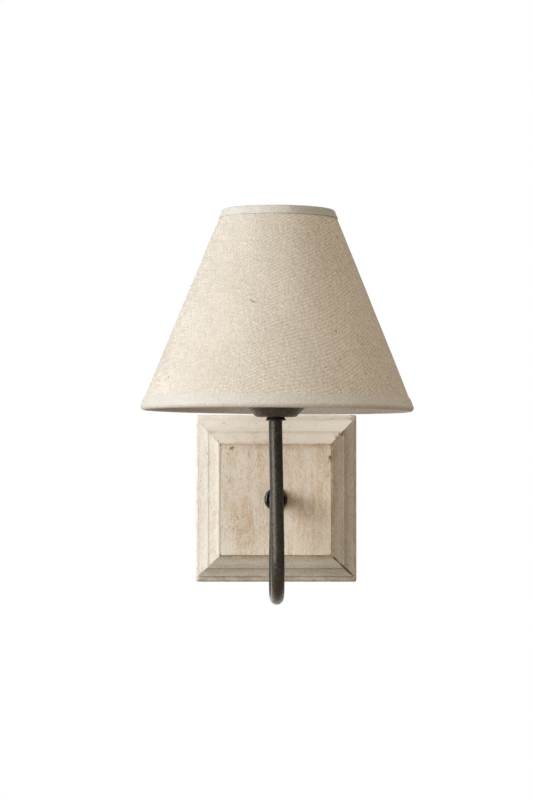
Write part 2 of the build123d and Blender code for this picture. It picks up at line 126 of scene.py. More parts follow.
def piece(name, verts, faces, mat, body, nodes=(), sharp=40, attrs=None):
    """A mesh in millimetres becomes a piece of the lamp."""
    me = bpy.data.meshes.new(name)
    me.from_pydata([(x * MM, y * MM, z * MM) for x, y, z in verts], [], faces)
    for key, values in (attrs or {}).items():
        if isinstance(values[0], (int, float)):
            me.attributes.new(key, "FLOAT", "POINT").data.foreach_set("value", values)
        else:
            me.attributes.new(key, "FLOAT_VECTOR", "POINT").data.foreach_set(
                "vector", [c for v in values for c in v]
            )
    bm = bmesh.new()
    bm.from_mesh(me)
    bmesh.ops.recalc_face_normals(bm, faces=bm.faces)
    bm.to_mesh(me)
    bm.free()
    for p in me.polygons:
        p.use_smooth = True
    me.set_sharp_from_angle(angle=math.radians(sharp))
    me.materials.append(mat)
    ob = bpy.data.objects.new(name, me)
    bpy.context.scene.collection.objects.link(ob)
    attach(ob, body)
    if nodes:
        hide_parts(*nodes)
    return ob


class Mat:
    """A node material with the few kinds of node that the lamp needs."""

    def __init__(self, name, rough=0.6, spec=0.5, metal=0.0):
        self.m = bpy.data.materials.new(name)
        self.m.use_nodes = True
        self.t = self.m.node_tree
        self.t.nodes.clear()
        self.out = self.t.nodes.new("ShaderNodeOutputMaterial")
        self.b = self.t.nodes.new("ShaderNodeBsdfPrincipled")
        self.t.links.new(self.b.outputs[0], self.out.inputs[0])
        self.set("Roughness", rough)
        self.set("Specular IOR Level", spec)
        self.set("Metallic", metal)

    def put(self, sock, v):
        if isinstance(v, bpy.types.NodeSocket):
            self.t.links.new(v, sock)
        elif isinstance(v, tuple) and len(v) == 3 and sock.type == "RGBA":
            sock.default_value = (*v, 1.0)
        else:
            sock.default_value = v

    def set(self, name, v):
        self.put(self.b.inputs[name], v)

    def math(self, op, a, b=None, c=None, limit=False):
        n = self.t.nodes.new("ShaderNodeMath")
        n.operation, n.use_clamp = op, limit
        for i, v in enumerate((a, b, c)):
            if v is not None:
                self.put(n.inputs[i], v)
        return n.outputs[0]

    def vmath(self, op, a, b=None):
        n = self.t.nodes.new("ShaderNodeVectorMath")
        n.operation = op
        self.put(n.inputs[0], a)
        if b is not None:
            self.put(n.inputs[1], b)
        return n.outputs[0]

    def split(self, v):
        n = self.t.nodes.new("ShaderNodeSeparateXYZ")
        self.put(n.inputs[0], v)
        return n.outputs[0], n.outputs[1], n.outputs[2]

    def join(self, x, y, z):
        n = self.t.nodes.new("ShaderNodeCombineXYZ")
        for i, v in enumerate((x, y, z)):
            self.put(n.inputs[i], v)
        return n.outputs[0]

    def noise(self, vec, scale=1.0, detail=2.0, rough=0.5, warp=0.0):
        n = self.t.nodes.new("ShaderNodeTexNoise")
        self.put(n.inputs["Vector"], vec)
        for k, v in (("Scale", scale), ("Detail", detail), ("Roughness", rough), ("Distortion", warp)):
            n.inputs[k].default_value = v
        return n.outputs["Fac"]

    def cells(self, vec, scale=1.0, random=1.0):
        n = self.t.nodes.new("ShaderNodeTexVoronoi")
        self.put(n.inputs["Vector"], vec)
        n.inputs["Scale"].default_value = scale
        n.inputs["Randomness"].default_value = random
        return n.outputs["Distance"]

    def attr(self, name, kind="Vector"):
        n = self.t.nodes.new("ShaderNodeAttribute")
        n.attribute_name = name
        return n.outputs[kind]

    def mm(self):
        """Object coordinates in millimetres."""
        n = self.t.nodes.new("ShaderNodeTexCoord")
        return self.vmath("MULTIPLY", n.outputs["Object"], (1000.0, 1000.0, 1000.0))

    def fit(self, v, a, b, c=0.0, d=1.0):
        n = self.t.nodes.new("ShaderNodeMapRange")
        n.clamp = True
        n.interpolation_type = "SMOOTHSTEP"
        for i, x in enumerate((v, a, b, c, d)):
            self.put(n.inputs[i], x)
        return n.outputs[0]

    def mix(self, f, a, b, how="MIX"):
        n = self.t.nodes.new("ShaderNodeMix")
        n.data_type, n.blend_type, n.clamp_factor = "RGBA", how, True
        self.put(n.inputs[0], f)
        self.put(n.inputs[6], a)
        self.put(n.inputs[7], b)
        return n.outputs[2]

    def bump(self, height, strength, depth_mm, onto=None):
        n = self.t.nodes.new("ShaderNodeBump")
        n.inputs["Strength"].default_value = strength
        n.inputs["Distance"].default_value = depth_mm * MM
        self.put(n.inputs["Height"], height)
        if onto is not None:
            self.put(n.inputs["Normal"], onto)
        return n.outputs[0]


# ------------------------------------------------------------------ materials
def limed_wood():
    m = Mat("limed_wood", rough=0.7, spec=0.25)
    g = m.attr("grain")
    long_grain = m.noise(m.vmath("MULTIPLY", g, (0.045, 1.1, 1.1)), 1.0, 4.0, 0.62)
    dashes = m.noise(m.vmath("MULTIPLY", g, (0.34, 0.95, 0.95)), 1.0, 3.0, 0.6)
    wide = m.noise(m.vmath("MULTIPLY", g, (0.012, 0.11, 0.11)), 1.0, 3.0, 0.55)
    blotch = m.noise(m.vmath("MULTIPLY", g, (0.07, 0.12, 0.12)), 1.0, 4.0, 0.65, 0.6)
    pores = m.noise(m.vmath("MULTIPLY", g, (0.30, 0.85, 0.85)), 1.0, 2.0, 0.5)
    crumbs = m.noise(m.vmath("MULTIPLY", g, (0.62, 0.72, 0.72)), 1.0, 5.0, 0.75)
    stain_and_light = m.attr("stain_and_light", "Fac")
    glaze_and_shade = m.attr("glaze_and_shade", "Fac")
    painted_shade = m.attr("painted_shade", "Fac")
    tan = m.math("ADD", stain_and_light, m.math("MULTIPLY", m.math("SUBTRACT", wide, 0.5), 0.9))
    tan = m.math("ADD", tan, m.math("MULTIPLY", m.math("SUBTRACT", long_grain, 0.5), 1.0))
    tan = m.math("ADD", tan, m.math("MULTIPLY", m.math("SUBTRACT", dashes, 0.5), 1.2))
    tan = m.math("ADD", tan, m.math("MULTIPLY", m.math("SUBTRACT", crumbs, 0.5), 1.9))
    tan = m.math("ADD", tan, m.math("MULTIPLY", m.math("SUBTRACT", blotch, 0.5), 1.2), limit=True)
    col = m.mix(tan, (0.85, 0.79, 0.71), (0.62, 0.455, 0.28))
    # below zero the value whitens the wood to fresh chalk; on the top rail and the left stile this whitening is painted
    # light
    col = m.mix(m.fit(stain_and_light, 0.0, -0.45, 0.0, 0.9), col, (0.91, 0.88, 0.83))
    # painted shade: a mottled grey-dark tone laid where the strips and the board face away from the light
    uneven = m.math("ADD", m.math("MULTIPLY", crumbs, 1.5), m.math("MULTIPLY", dashes, 0.9))
    col = m.mix(m.math("MULTIPLY", painted_shade, m.math("SUBTRACT", uneven, 0.2), limit=True), col, (0.33, 0.33, 0.30))
    # the brown glaze that stayed in the quirks, the mitres and the open pores; along the edges that face away from the
    # light it is laid on heavier as painted shade
    stay = m.math("MULTIPLY", glaze_and_shade, m.fit(blotch, 0.25, 0.62, 0.35, 1.15))
    stay = m.math("MULTIPLY", stay, m.fit(crumbs, 0.3, 0.6, 0.55, 1.1))
    speck = m.fit(pores, 0.61, 0.73)
    speck = m.math("MULTIPLY", speck, m.fit(blotch, 0.40, 0.64, 0.15, 0.85))
    dirt = m.math("MAXIMUM", stay, m.math("MULTIPLY", speck, 0.5), limit=True)
    col = m.mix(dirt, col, (0.30, 0.185, 0.095))
    chalk = m.fit(m.noise(m.vmath("MULTIPLY", g, (0.12, 0.7, 0.7)), 1.0, 3.0, 0.6), 0.56, 0.72, 0.0, 0.45)
    col = m.mix(m.math("MULTIPLY", chalk, m.math("SUBTRACT", 1.0, m.math("MAXIMUM", painted_shade, glaze_and_shade))), col, (0.80, 0.77, 0.72))
    m.set("Base Color", col)
    m.set("Roughness", m.fit(crumbs, 0.3, 0.7, 0.62, 0.86))
    h = m.math("SUBTRACT", m.math("MULTIPLY", long_grain, 0.5), m.math("MULTIPLY", speck, 0.9))
    h = m.math("ADD", h, m.math("MULTIPLY", crumbs, 0.8))
    h = m.math("ADD", h, m.math("MULTIPLY", dashes, 0.7))
    m.set("Normal", m.bump(h, 0.7, 0.30))
    return m.m


def bronze(name, rust=0.0, base=(0.025, 0.022, 0.0178), light=1.0, gloss=(0.30, 0.50), relief=0.42, worn=(0.27, 0.245, 0.20), drawn=0.55, shine=0.5):
    m = Mat(name, rough=0.4, spec=shine)
    m.b.inputs["Specular Tint"].default_value = (1.0, 0.94, 0.84, 1.0)
    p = m.mm()
    grit = m.noise(p, 0.95, 4.0, 0.7)
    mid = m.noise(p, 0.35, 3.0, 0.6)
    wide = m.noise(m.vmath("MULTIPLY", p, (0.06, 0.06, 0.03)), 1.0, 3.0, 0.6)
    col = m.mix(m.fit(mid, 0.35, 0.7), base, tuple(c * 1.9 for c in base))
    brown = m.math("MULTIPLY", m.fit(wide, 0.42, 0.68), m.fit(grit, 0.42, 0.66))
    _, _, z = m.split(p)
    low = m.fit(z, 20.0, -60.0, 0.25, 1.0)
    brown = m.math("MULTIPLY", brown, m.math("MULTIPLY", low, 0.5 + rust))
    col = m.mix(brown, col, (0.080, 0.060, 0.031))
    fleck = m.fit(m.noise(m.vmath("MULTIPLY", p, (1.0, 1.0, drawn)), 0.85, 3.0, 0.6), 0.52, 0.66)
    col = m.mix(m.math("MULTIPLY", fleck, light), col, worn)
    m.set("Base Color", col)
    m.set("Roughness", m.fit(grit, 0.3, 0.7, *gloss))
    h = m.math("ADD", m.math("MULTIPLY", grit, 0.9), m.math("MULTIPLY", mid, 0.8))
    m.set("Normal", m.bump(h, 0.9, relief))
    return m.m


def weave_height(m, x, y):
    """Height of a full, soft plain weave whose threads are one unit wide, 0 to 1, from flat coordinates."""
    sx = m.math("SINE", m.math("MULTIPLY", x, math.pi))
    sy = m.math("SINE", m.math("MULTIPLY", y, math.pi))
    return m.math("MULTIPLY_ADD", m.math("MULTIPLY", sx, sy), 0.5, 0.5)


def cloth(name, key, light, dark, slub, depth, sheen, wander=0.35, contrast=1.0, husks=(), nubs=0.0, bias=58, shade_patch=None):
    """Woven cloth. The attribute holds the two thread counts at each point.

    The attribute "cut" holds the place on the cloth in millimetres and how far the yarns have slipped
    from their lattice there, where the weave reads as short slanting nubs. Below zero the cloth is worn
    flat and only its thicker wefts stand out. A stretch between two places along the cloth can be darkened as painted
    shade.
    """
    m = Mat(name, rough=0.92, spec=0.12)
    m.b.inputs["Sheen Weight"].default_value = sheen
    m.b.inputs["Sheen Roughness"].default_value = 0.5
    flat = m.attr(key)
    # threads wander a little and differ in thickness
    drift = m.t.nodes.new("ShaderNodeTexNoise")
    m.put(drift.inputs["Vector"], m.vmath("MULTIPLY", flat, (0.34, 0.34, 0.34)))
    drift.inputs["Detail"].default_value = 2.0
    off = m.vmath("MULTIPLY", m.vmath("SUBTRACT", drift.outputs["Color"], (0.5, 0.5, 0.5)), (wander * 2,) * 3)
    q = m.vmath("ADD", flat, off)
    x, y, _ = m.split(q)
    h = weave_height(m, x, y)
    warp = m.noise(m.vmath("MULTIPLY", q, (0.9, 0.15, 1.0)), 1.0, 2.0, 0.6)
    weft = m.noise(m.vmath("ADD", m.vmath("MULTIPLY", q, (0.15, 0.9, 1.0)), (31.0, 17.0, 5.0)), 1.0, 2.0, 0.6)
    knot = m.noise(m.vmath("MULTIPLY", q, (0.42, 0.42, 1.0)), 1.0, 3.0, 0.6)
    tone = m.math("ADD", m.math("MULTIPLY", warp, 0.4), m.math("MULTIPLY_ADD", weft, 0.3, m.math("MULTIPLY", knot, 0.3)))
    wide = m.noise(m.vmath("MULTIPLY", flat, (0.03, 0.03, 0.03)), 1.0, 3.0, 0.5)
    cx, cy, slip = m.split(m.attr("cut"))
    flattened = m.math("MAXIMUM", m.math("MULTIPLY", slip, -1.0), 0.0)
    slip = m.math("MAXIMUM", slip, 0.0)
    ca, sa = math.cos(math.radians(bias)), math.sin(math.radians(bias))
    up = m.math("ADD", m.math("MULTIPLY", cx, ca), m.math("MULTIPLY", cy, sa))
    across = m.math("SUBTRACT", m.math("MULTIPLY", cy, ca), m.math("MULTIPLY", cx, sa))
    nub = m.noise(m.join(m.math("MULTIPLY", up, 0.46), m.math("MULTIPLY", across, 1.30), 0.0), 1.0, 2.0, 0.5)
    nub = m.math("SUBTRACT", nub, 0.5)
    keep = m.math("MULTIPLY_ADD", flattened, -0.6, m.math("MULTIPLY_ADD", slip, -0.2, 1.0))
    f = m.math("MULTIPLY_ADD", m.math("MULTIPLY", m.math("SUBTRACT", h, 0.5), keep), contrast, 0.55)
    f = m.math("ADD", f, m.math("MULTIPLY", m.math("SUBTRACT", tone, 0.5), slub))
    f = m.math("ADD", f, m.math("MULTIPLY", m.math("MULTIPLY", nub, slip), nubs))
    f = m.math("ADD", f, m.math("MULTIPLY", m.math("MULTIPLY", m.math("SUBTRACT", weft, 0.5), flattened), 0.9))
    f = m.math("ADD", f, m.math("MULTIPLY", m.math("SUBTRACT", wide, 0.5), 0.3), limit=True)
    col = m.mix(f, dark, light)
    # painted shade: a stretch of the cloth is darkened towards a grey tint
    if shade_patch:
        a, b, c, d, much, tint = shade_patch
        patch = m.math("MULTIPLY", m.fit(cx, a, b), m.fit(cx, c, d, 1.0, 0.0))
        patch = m.math("MULTIPLY", patch, m.math("MULTIPLY_ADD", knot, 0.8, much - 0.4))
        col = m.mix(patch, col, tint)
    for hx, hy, a, b, shade in husks:
        # a bit of husk spun into the yarn
        e = m.vmath("MULTIPLY", m.vmath("SUBTRACT", flat, (hx, hy, 0.0)), (1 / a, 1 / b, 0.0))
        n = m.t.nodes.new("ShaderNodeVectorMath")
        n.operation = "LENGTH"
        m.put(n.inputs[0], e)
        col = m.mix(m.fit(n.outputs["Value"], 1.15, 0.55, 0.0, 0.9), col, shade)
    m.set("Base Color", col)
    hh = m.math("ADD", m.math("MULTIPLY", m.math("MULTIPLY", h, keep), 0.7), m.math("MULTIPLY", tone, 0.9))
    hh = m.math("ADD", hh, m.math("MULTIPLY", m.math("MULTIPLY", nub, slip), nubs * 0.9))
    m.set("Normal", m.bump(hh, 0.8, depth))
    return m.m


def simple(name, color, rough, spec=0.5, metal=0.0, spread=0.10, grain=0.5, depth=0.03, stretch=(1, 1, 1)):
    """Metal, plastic and enamel of the small parts: uneven tone, fine marks and a little relief."""
    m = Mat(name, rough, spec, metal)
    p = m.vmath("MULTIPLY", m.mm(), tuple(float(s) for s in stretch))
    fine = m.noise(p, grain * 3, 4.0, 0.65)
    broad = m.noise(p, grain * 0.35, 2.0, 0.5)
    f = m.math("ADD", m.math("MULTIPLY", fine, 0.5), m.math("MULTIPLY", broad, 0.5))
    col = m.mix(m.fit(f, 0.3, 0.7), tuple(c * (1 - spread) for c in color), tuple(min(1.0, c * (1 + spread)) for c in color))
    m.set("Base Color", col)
    m.set("Roughness", m.fit(fine, 0.3, 0.7, max(0.05, rough - 0.08), min(1.0, rough + 0.1)))
    m.set("Normal", m.bump(f, 0.3, depth))
    return m


WOOD = limed_wood()
TUBE = bronze("bronze_tube", 0.15, (0.0125, 0.0122, 0.0103), 0.25, (0.21, 0.44), 0.30, (0.15, 0.138, 0.112), drawn=0.5, shine=0.6)
BRONZE = bronze("bronze_fittings", light=0.4, relief=0.36, drawn=0.3)
BOSS = bronze("bronze_boss", 0.1, (0.013, 0.012, 0.010), 0.12, (0.10, 0.20), 0.06, (0.17, 0.155, 0.13))
LINING = simple("shade_lining", (0.95, 0.835, 0.69), 0.45, 0.4, spread=0.05, grain=0.2, depth=0.05).m
ZINC = simple("zinc_steel", (0.52, 0.52, 0.51), 0.36, metal=1.0, grain=0.8).m
BRASS = simple("brass", (0.62, 0.45, 0.18), 0.32, metal=1.0, grain=0.8).m
HOLDER = simple("holder_plastic", (0.74, 0.71, 0.64), 0.42, spread=0.05, grain=0.4).m
WHITE_WIRE = simple("white_wire", (0.74, 0.725, 0.69), 0.38, spread=0.06, grain=0.6).m
NICKEL = simple("bulb_metal", (0.66, 0.65, 0.62), 0.28, metal=1.0, grain=0.8).m
BLACK_GLASS = simple("bulb_black", (0.02, 0.02, 0.022), 0.15, spread=0.3).m
FILAMENT = simple("bulb_filament", (0.78, 0.58, 0.16), 0.4, spread=0.12, grain=0.8).m
NYLON = simple("terminal_nylon", (0.76, 0.745, 0.69), 0.5, spread=0.05).m
BROWN_WIRE = simple("brown_wire", (0.10, 0.045, 0.02), 0.38, spread=0.2).m
BLUE_WIRE = simple("blue_wire", (0.02, 0.075, 0.28), 0.38, spread=0.2).m


def green_yellow():
    m = Mat("green_wire", rough=0.4)
    x, y, z = m.split(m.mm())
    s = m.math("SINE", m.math("MULTIPLY", m.math("ADD", m.math("ADD", x, y), z), 1.1))
    m.set("Base Color", m.mix(m.fit(s, -0.1, 0.1), (0.06, 0.23, 0.035), (0.62, 0.52, 0.04)))
    return m.m


GREEN_WIRE = green_yellow()


def frosted():
    m = Mat("bulb_glass", rough=0.38, spec=0.5)
    p = m.mm()
    f = m.noise(p, 0.25, 3.0, 0.6)
    m.set("Base Color", m.mix(m.fit(f, 0.3, 0.7), (0.90, 0.89, 0.86), (0.95, 0.945, 0.92)))
    m.b.inputs["Transmission Weight"].default_value = 0.55
    m.b.inputs["IOR"].default_value = 1.45
    m.set("Roughness", m.fit(m.noise(p, 1.2, 3.0, 0.6), 0.3, 0.7, 0.32, 0.46))
    return m.m


FROST = frosted()

# ------------------------------------------------------------------ wooden plate
MOULDING = trace(
    (60.75, 0.0),
    ((60.75, 0.6), 2),
    ((60.5, 1.12), (59.9, 1.3), 4),
    ((56.1, 4.1), (53.3, 7.9), 24),
    ((53.2, 8.2), (52.9, 8.35), 3),
    ((52.5, 8.36), 2),
    ((52.15, 8.22), 3),
    ((51.8, 8.18), 2),
    ((48.31, 9.93), (45.1, 12.3), 20),
    ((44.45, 13.15), (43.5, 13.15), 6),
    ((43.12, 13.02), (43.0, 12.7), 4),
    ((43.0, 0.0), 6),
)
MOULDING_FRONT = len(MOULDING)
MOULDING = MOULDING + line(MOULDING[-1], MOULDING[0], 7)[:-1]

# Dents and chips: (x, z, half width across, half height, depth, lean in degrees)
DENTS = [
    (-33.8, 39.9, 1.5, 0.9, 0.9, 25),
    (-33.2, 39.1, 0.7, 1.0, 0.7, 0),
    (-20.7, 35.0, 0.42, 2.1, 0.55, 6),
    (-20.1, 32.9, 0.45, 0.9, 0.4, 40),
    (42.0, 32.6, 0.8, 1.3, 1.0, 0),
    (42.3, 30.4, 0.6, 0.7, 0.6, 0),
    (-53.5, 35.0, 0.6, 1.3, 0.5, 0),
    (-58.3, 14.2, 0.6, 0.6, 0.35, 0),
    (15.2, 22.0, 0.35, 1.2, 0.25, 8),
    (16.4, 18.6, 0.4, 0.7, 0.25, 0),
    (55.7, 33.5, 0.4, 1.6, 0.5, -35),
    (-29.0, -14.0, 0.35, 1.4, 0.3, 5),
    (-31.5, -18.5, 0.4, 1.6, 0.3, 0),
    (-24.5, -22.5, 0.35, 1.2, 0.28, 0),
    (-27.8, -27.0, 0.35, 1.0, 0.25, 10),
    (-34.6, -24.0, 0.4, 0.9, 0.25, 0),
    (12.0, -13.0, 0.5, 0.6, 0.3, 0),
    (47.5, 48.2, 1.2, 1.6, 0.8, 45),
    (49.3, 50.9, 1.1, 0.7, 0.8, 45),
    (51.9, 50.2, 1.3, 1.0, 0.9, 40),
    (53.4, -52.2, 0.8, 1.9, 0.6, -45),
    (-44.4, 45.5, 0.7, 0.7, 0.4, 0),
]
DENTS = [(x, z, a, b, d, math.cos(math.radians(t)), math.sin(math.radians(t))) for x, z, a, b, d, t in DENTS]


def dent(x, z):
    """Depth of the dents at a place of the plate's face, and how dark the glaze lies in them."""
    deep = 0.0
    for dx, dz, a, b, d, c, s in DENTS:
        ex, ez = x - dx, z - dz
        if abs(ex) > 4 or abs(ez) > 4:
            continue
        p, q = (ex * c + ez * s) / a, (ez * c - ex * s) / b
        k = p * p + q * q
        if k < 6:
            deep = max(deep, d * math.exp(-k * 1.1))
    return deep


# How far each mitre has opened: (section coordinate from, to, width)
OPEN = {
    "top_left": [(43, 61, 0.02)],
    "top_right": [(43, 61, 0.16), (47.5, 54.0, 0.30)],
    "low_right": [(43, 61, 0.20), (44.0, 47.5, 0.26), (50.5, 59.5, 0.42)],
    "low_left": [(43, 61, 0.02)],
}


def mitre_gap(corner, u):
    g = 0.02
    for a, b, w in OPEN[corner]:
        if a <= u <= b:
            g += w * smooth(a, a + 0.8, u) * (1 - smooth(b - 0.8, b, u))
    return g * (1.0 + 0.55 * n3(u * 1.3, len(corner) * 3.1, 0.5))


# How much brown glaze lies on the inner and outer side of the crest, along the lip, and in each mitre; on the bottom
# rail and the right stile it is laid on heavier as painted shade
QUIRK = {
    "frame_rail_top": (0.25, 0.06), "frame_stile_left": (0.04, 0.04), "frame_rail_bottom": (0.75, 0.55),
    "frame_stile_right": (0.25, 0.3),
}
LIP = {
    "frame_rail_top": (0.14, 43.7), "frame_stile_left": (0.03, 43.5), "frame_rail_bottom": (0.95, 44.9),
    "frame_stile_right": (0.85, 45.3),
}
MITRE = {"top_left": (0.26, 0.6), "top_right": (0.9, 0.5), "low_right": (1.0, 0.8), "low_left": (0.3, 0.9)}


def strip(name, place, ends, seed):
    """One mitred length of the moulding. place(along, u, w) gives the point in space."""
    nt = 190
    m = len(MOULDING)
    verts, stain_and_light, glaze_and_shade, grain, painted_shade = [], [], [], [], []
    for k in range(nt + 1):
        t = -1 + 2 * k / nt
        # closer together near the mitres
        t = math.sin(t * math.pi / 2) * 0.35 + t * 0.65
        for i, (u, w) in enumerate(MOULDING):
            front = i < MOULDING_FRONT
            (pu, pw), (qu, qw) = MOULDING[i - 1], MOULDING[(i + 1) % m]
            du, dw = qu - pu, qw - pw
            ln = math.hypot(du, dw) or 1.0
            nu, nw = dw / ln, -du / ln
            gap = mitre_gap(ends[0] if t < 0 else ends[1], u)
            half = u - gap
            along = t * half
            x, y, z = place(along, u, w)
            d = 0.0
            to_mitre = (1 - abs(t)) * u
            if front and w > 0.3:
                d += 0.13 * n3(along * 0.045 + seed, u * 0.09, seed * 2.1)
                d += 0.06 * n3(along * 0.22, u * 0.5 + seed * 5, 3.3)
                crest = max(0.0, 1 - abs(u - 52.85) / 0.75)
                lip = max(0.0, 1 - abs(u - 44.1) / 1.1)
                edge = max(crest, lip * 0.8, max(0.0, 1 - abs(u - 60.3) / 0.7))
                chip = n3(along * 0.33 + seed * 9, u * 0.05, 7.7) + 0.6 * n3(along * 0.9, seed, 1.1)
                d -= edge * 0.34 * max(0.0, chip - 0.1)
                d -= dent(x, z)
                # the corner of each strip is a little bruised where it meets the next
                bruise = 0.16 * MITRE[ends[0] if t < 0 else ends[1]][0]
                d -= bruise * math.exp(-((to_mitre / 0.7) ** 2)) * (0.7 + 0.6 * n3(u * 0.8, seed, 4.0))
            uu, ww = u + nu * d, w + nw * d
            vx, vy, vz = place(along, uu, ww)
            verts.append((vx, vy, vz + PLATE_Z - SAG * w))
            g = 0.0
            if front:
                here = 0.5 + 0.5 * n3(along * 0.06 + seed * 7, u * 0.02, 6.0)
                inner, outer = QUIRK[name]
                g = max(g, inner * here * math.exp(-(((u - 52.1) / 0.26) ** 2)))
                g = max(g, outer * (1 - 0.7 * here) * math.exp(-(((u - 53.45) / 0.28) ** 2)))
                much, reach = LIP[name]
                g = max(g, much * smooth(reach, 43.2, u))
                g = max(g, (0.5 if "bottom" in name else 0.05 if "top" in name else 0.22) * math.exp(-(((u - 60.5) / 0.4) ** 2)))
                corner = ends[0] if t < 0 else ends[1]
                strong, broad = MITRE[corner]
                g = max(g, strong * math.exp(-((to_mitre / broad) ** 2)))
                g = max(g, clamp(dent(x, z) * 1.6))
                g += 0.10 * max(0.0, n3(along * 0.05 + seed * 3, u * 0.12, 8.8))
            glaze_and_shade.append(clamp(g))
            st = 0.20 + 0.16 * n3(along * 0.03 + seed * 4, u * 0.07, 2.0)
            # painted shade: how much the grey-dark tone darkens each strip, most on the bottom rail and the right
            # stile, which face away from the light, and on the bottom rail more towards the right
            shade_amount = 0.0
            if name == "frame_rail_bottom":
                shade_amount = 0.44 + 0.10 * n3(along * 0.05, u * 0.2, 71.0) + 0.16 * smooth(49.5, 52.8, u) * smooth(54.5, 52.9, u)
                shade_amount += 0.15 * smooth(2, 22, x) * smooth(52.5, 54.0, u)
            if name == "frame_rail_top":
                # painted light: the top rail is whitened towards its right end
                st -= 0.12 + 0.40 * smooth(0, 22, along)
            if "stile_left" in name:
                # painted light: the left stile is whitened, most in its quirk and along its lip, which fills in the
                # shade that falls there; the painted shade greys the rest of it a little
                thick = max(math.exp(-(((u - 52.3) / 0.8) ** 2)), smooth(44.8, 43.0, u))
                st -= 0.12 + 0.55 * thick
                shade_amount = (0.32 - 0.14 * smooth(52.5, 51.5, u)) * (1 - thick)
            if "stile_right" in name:
                shade_amount = 0.50 + 0.10 * n3(along * 0.05, u * 0.2, 72.0) + 0.22 * math.exp(-(((u - 53.6) / 2.2) ** 2))
            painted_shade.append(clamp(shade_amount))
            st += 0.25 * math.exp(-(((u - 51.6) / 0.9) ** 2)) + 0.2 * smooth(45.5, 43.5, u)
            stain_and_light.append(clamp(st, -0.5))
            grain.append((along * 1.8 + seed * 211.0, u, w))
    faces = grid(nt + 1, m, wrap_c=True)
    faces.append(tuple(range(m)))
    faces.append(tuple(nt * m + i for i in range(m)))
    return piece(
        name + "_worn", verts, faces, WOOD, "wall_body", (name,), 50,
        {"stain_and_light": stain_and_light, "glaze_and_shade": glaze_and_shade, "grain": grain, "painted_shade": painted_shade},
    )


strip("frame_rail_top", lambda a, u, w: (a, BOARD_Y - w, u), ("top_left", "top_right"), 1.0)
strip("frame_stile_right", lambda a, u, w: (u, BOARD_Y - w, -a), ("top_right", "low_right"), 2.0)
strip("frame_rail_bottom", lambda a, u, w: (-a, BOARD_Y - w, -u), ("low_right", "low_left"), 3.0)
strip("frame_stile_left", lambda a, u, w: (-u, BOARD_Y - w, a), ("low_left", "top_left"), 4.0)


def box_ring(hx, hz, r, per_side, per_corner):
    """Points round a rounded rectangle, starting at the middle of its right side."""
    pts = []
    r = max(r, 1e-4)
    corners = [(hx - r, hz - r, 0), (-hx + r, hz - r, 90), (-hx + r, -hz + r, 180), (hx - r, -hz + r, 270)]
    for q, (cx, cz, a0) in enumerate(corners):
        nxt = corners[(q + 1) % 4]
        for i in range(per_corner + 1):
            a = math.radians(a0 + 90 * i / per_corner)
            pts.append((cx + r * math.cos(a), cz + r * math.sin(a)))
        end = math.radians(a0 + 90)
        p = (cx + r * math.cos(end), cz + r * math.sin(end))
        s = (nxt[0] + r * math.cos(end), nxt[1] + r * math.sin(end))
        pts += line(p, s, per_side)[:-1]
    return pts


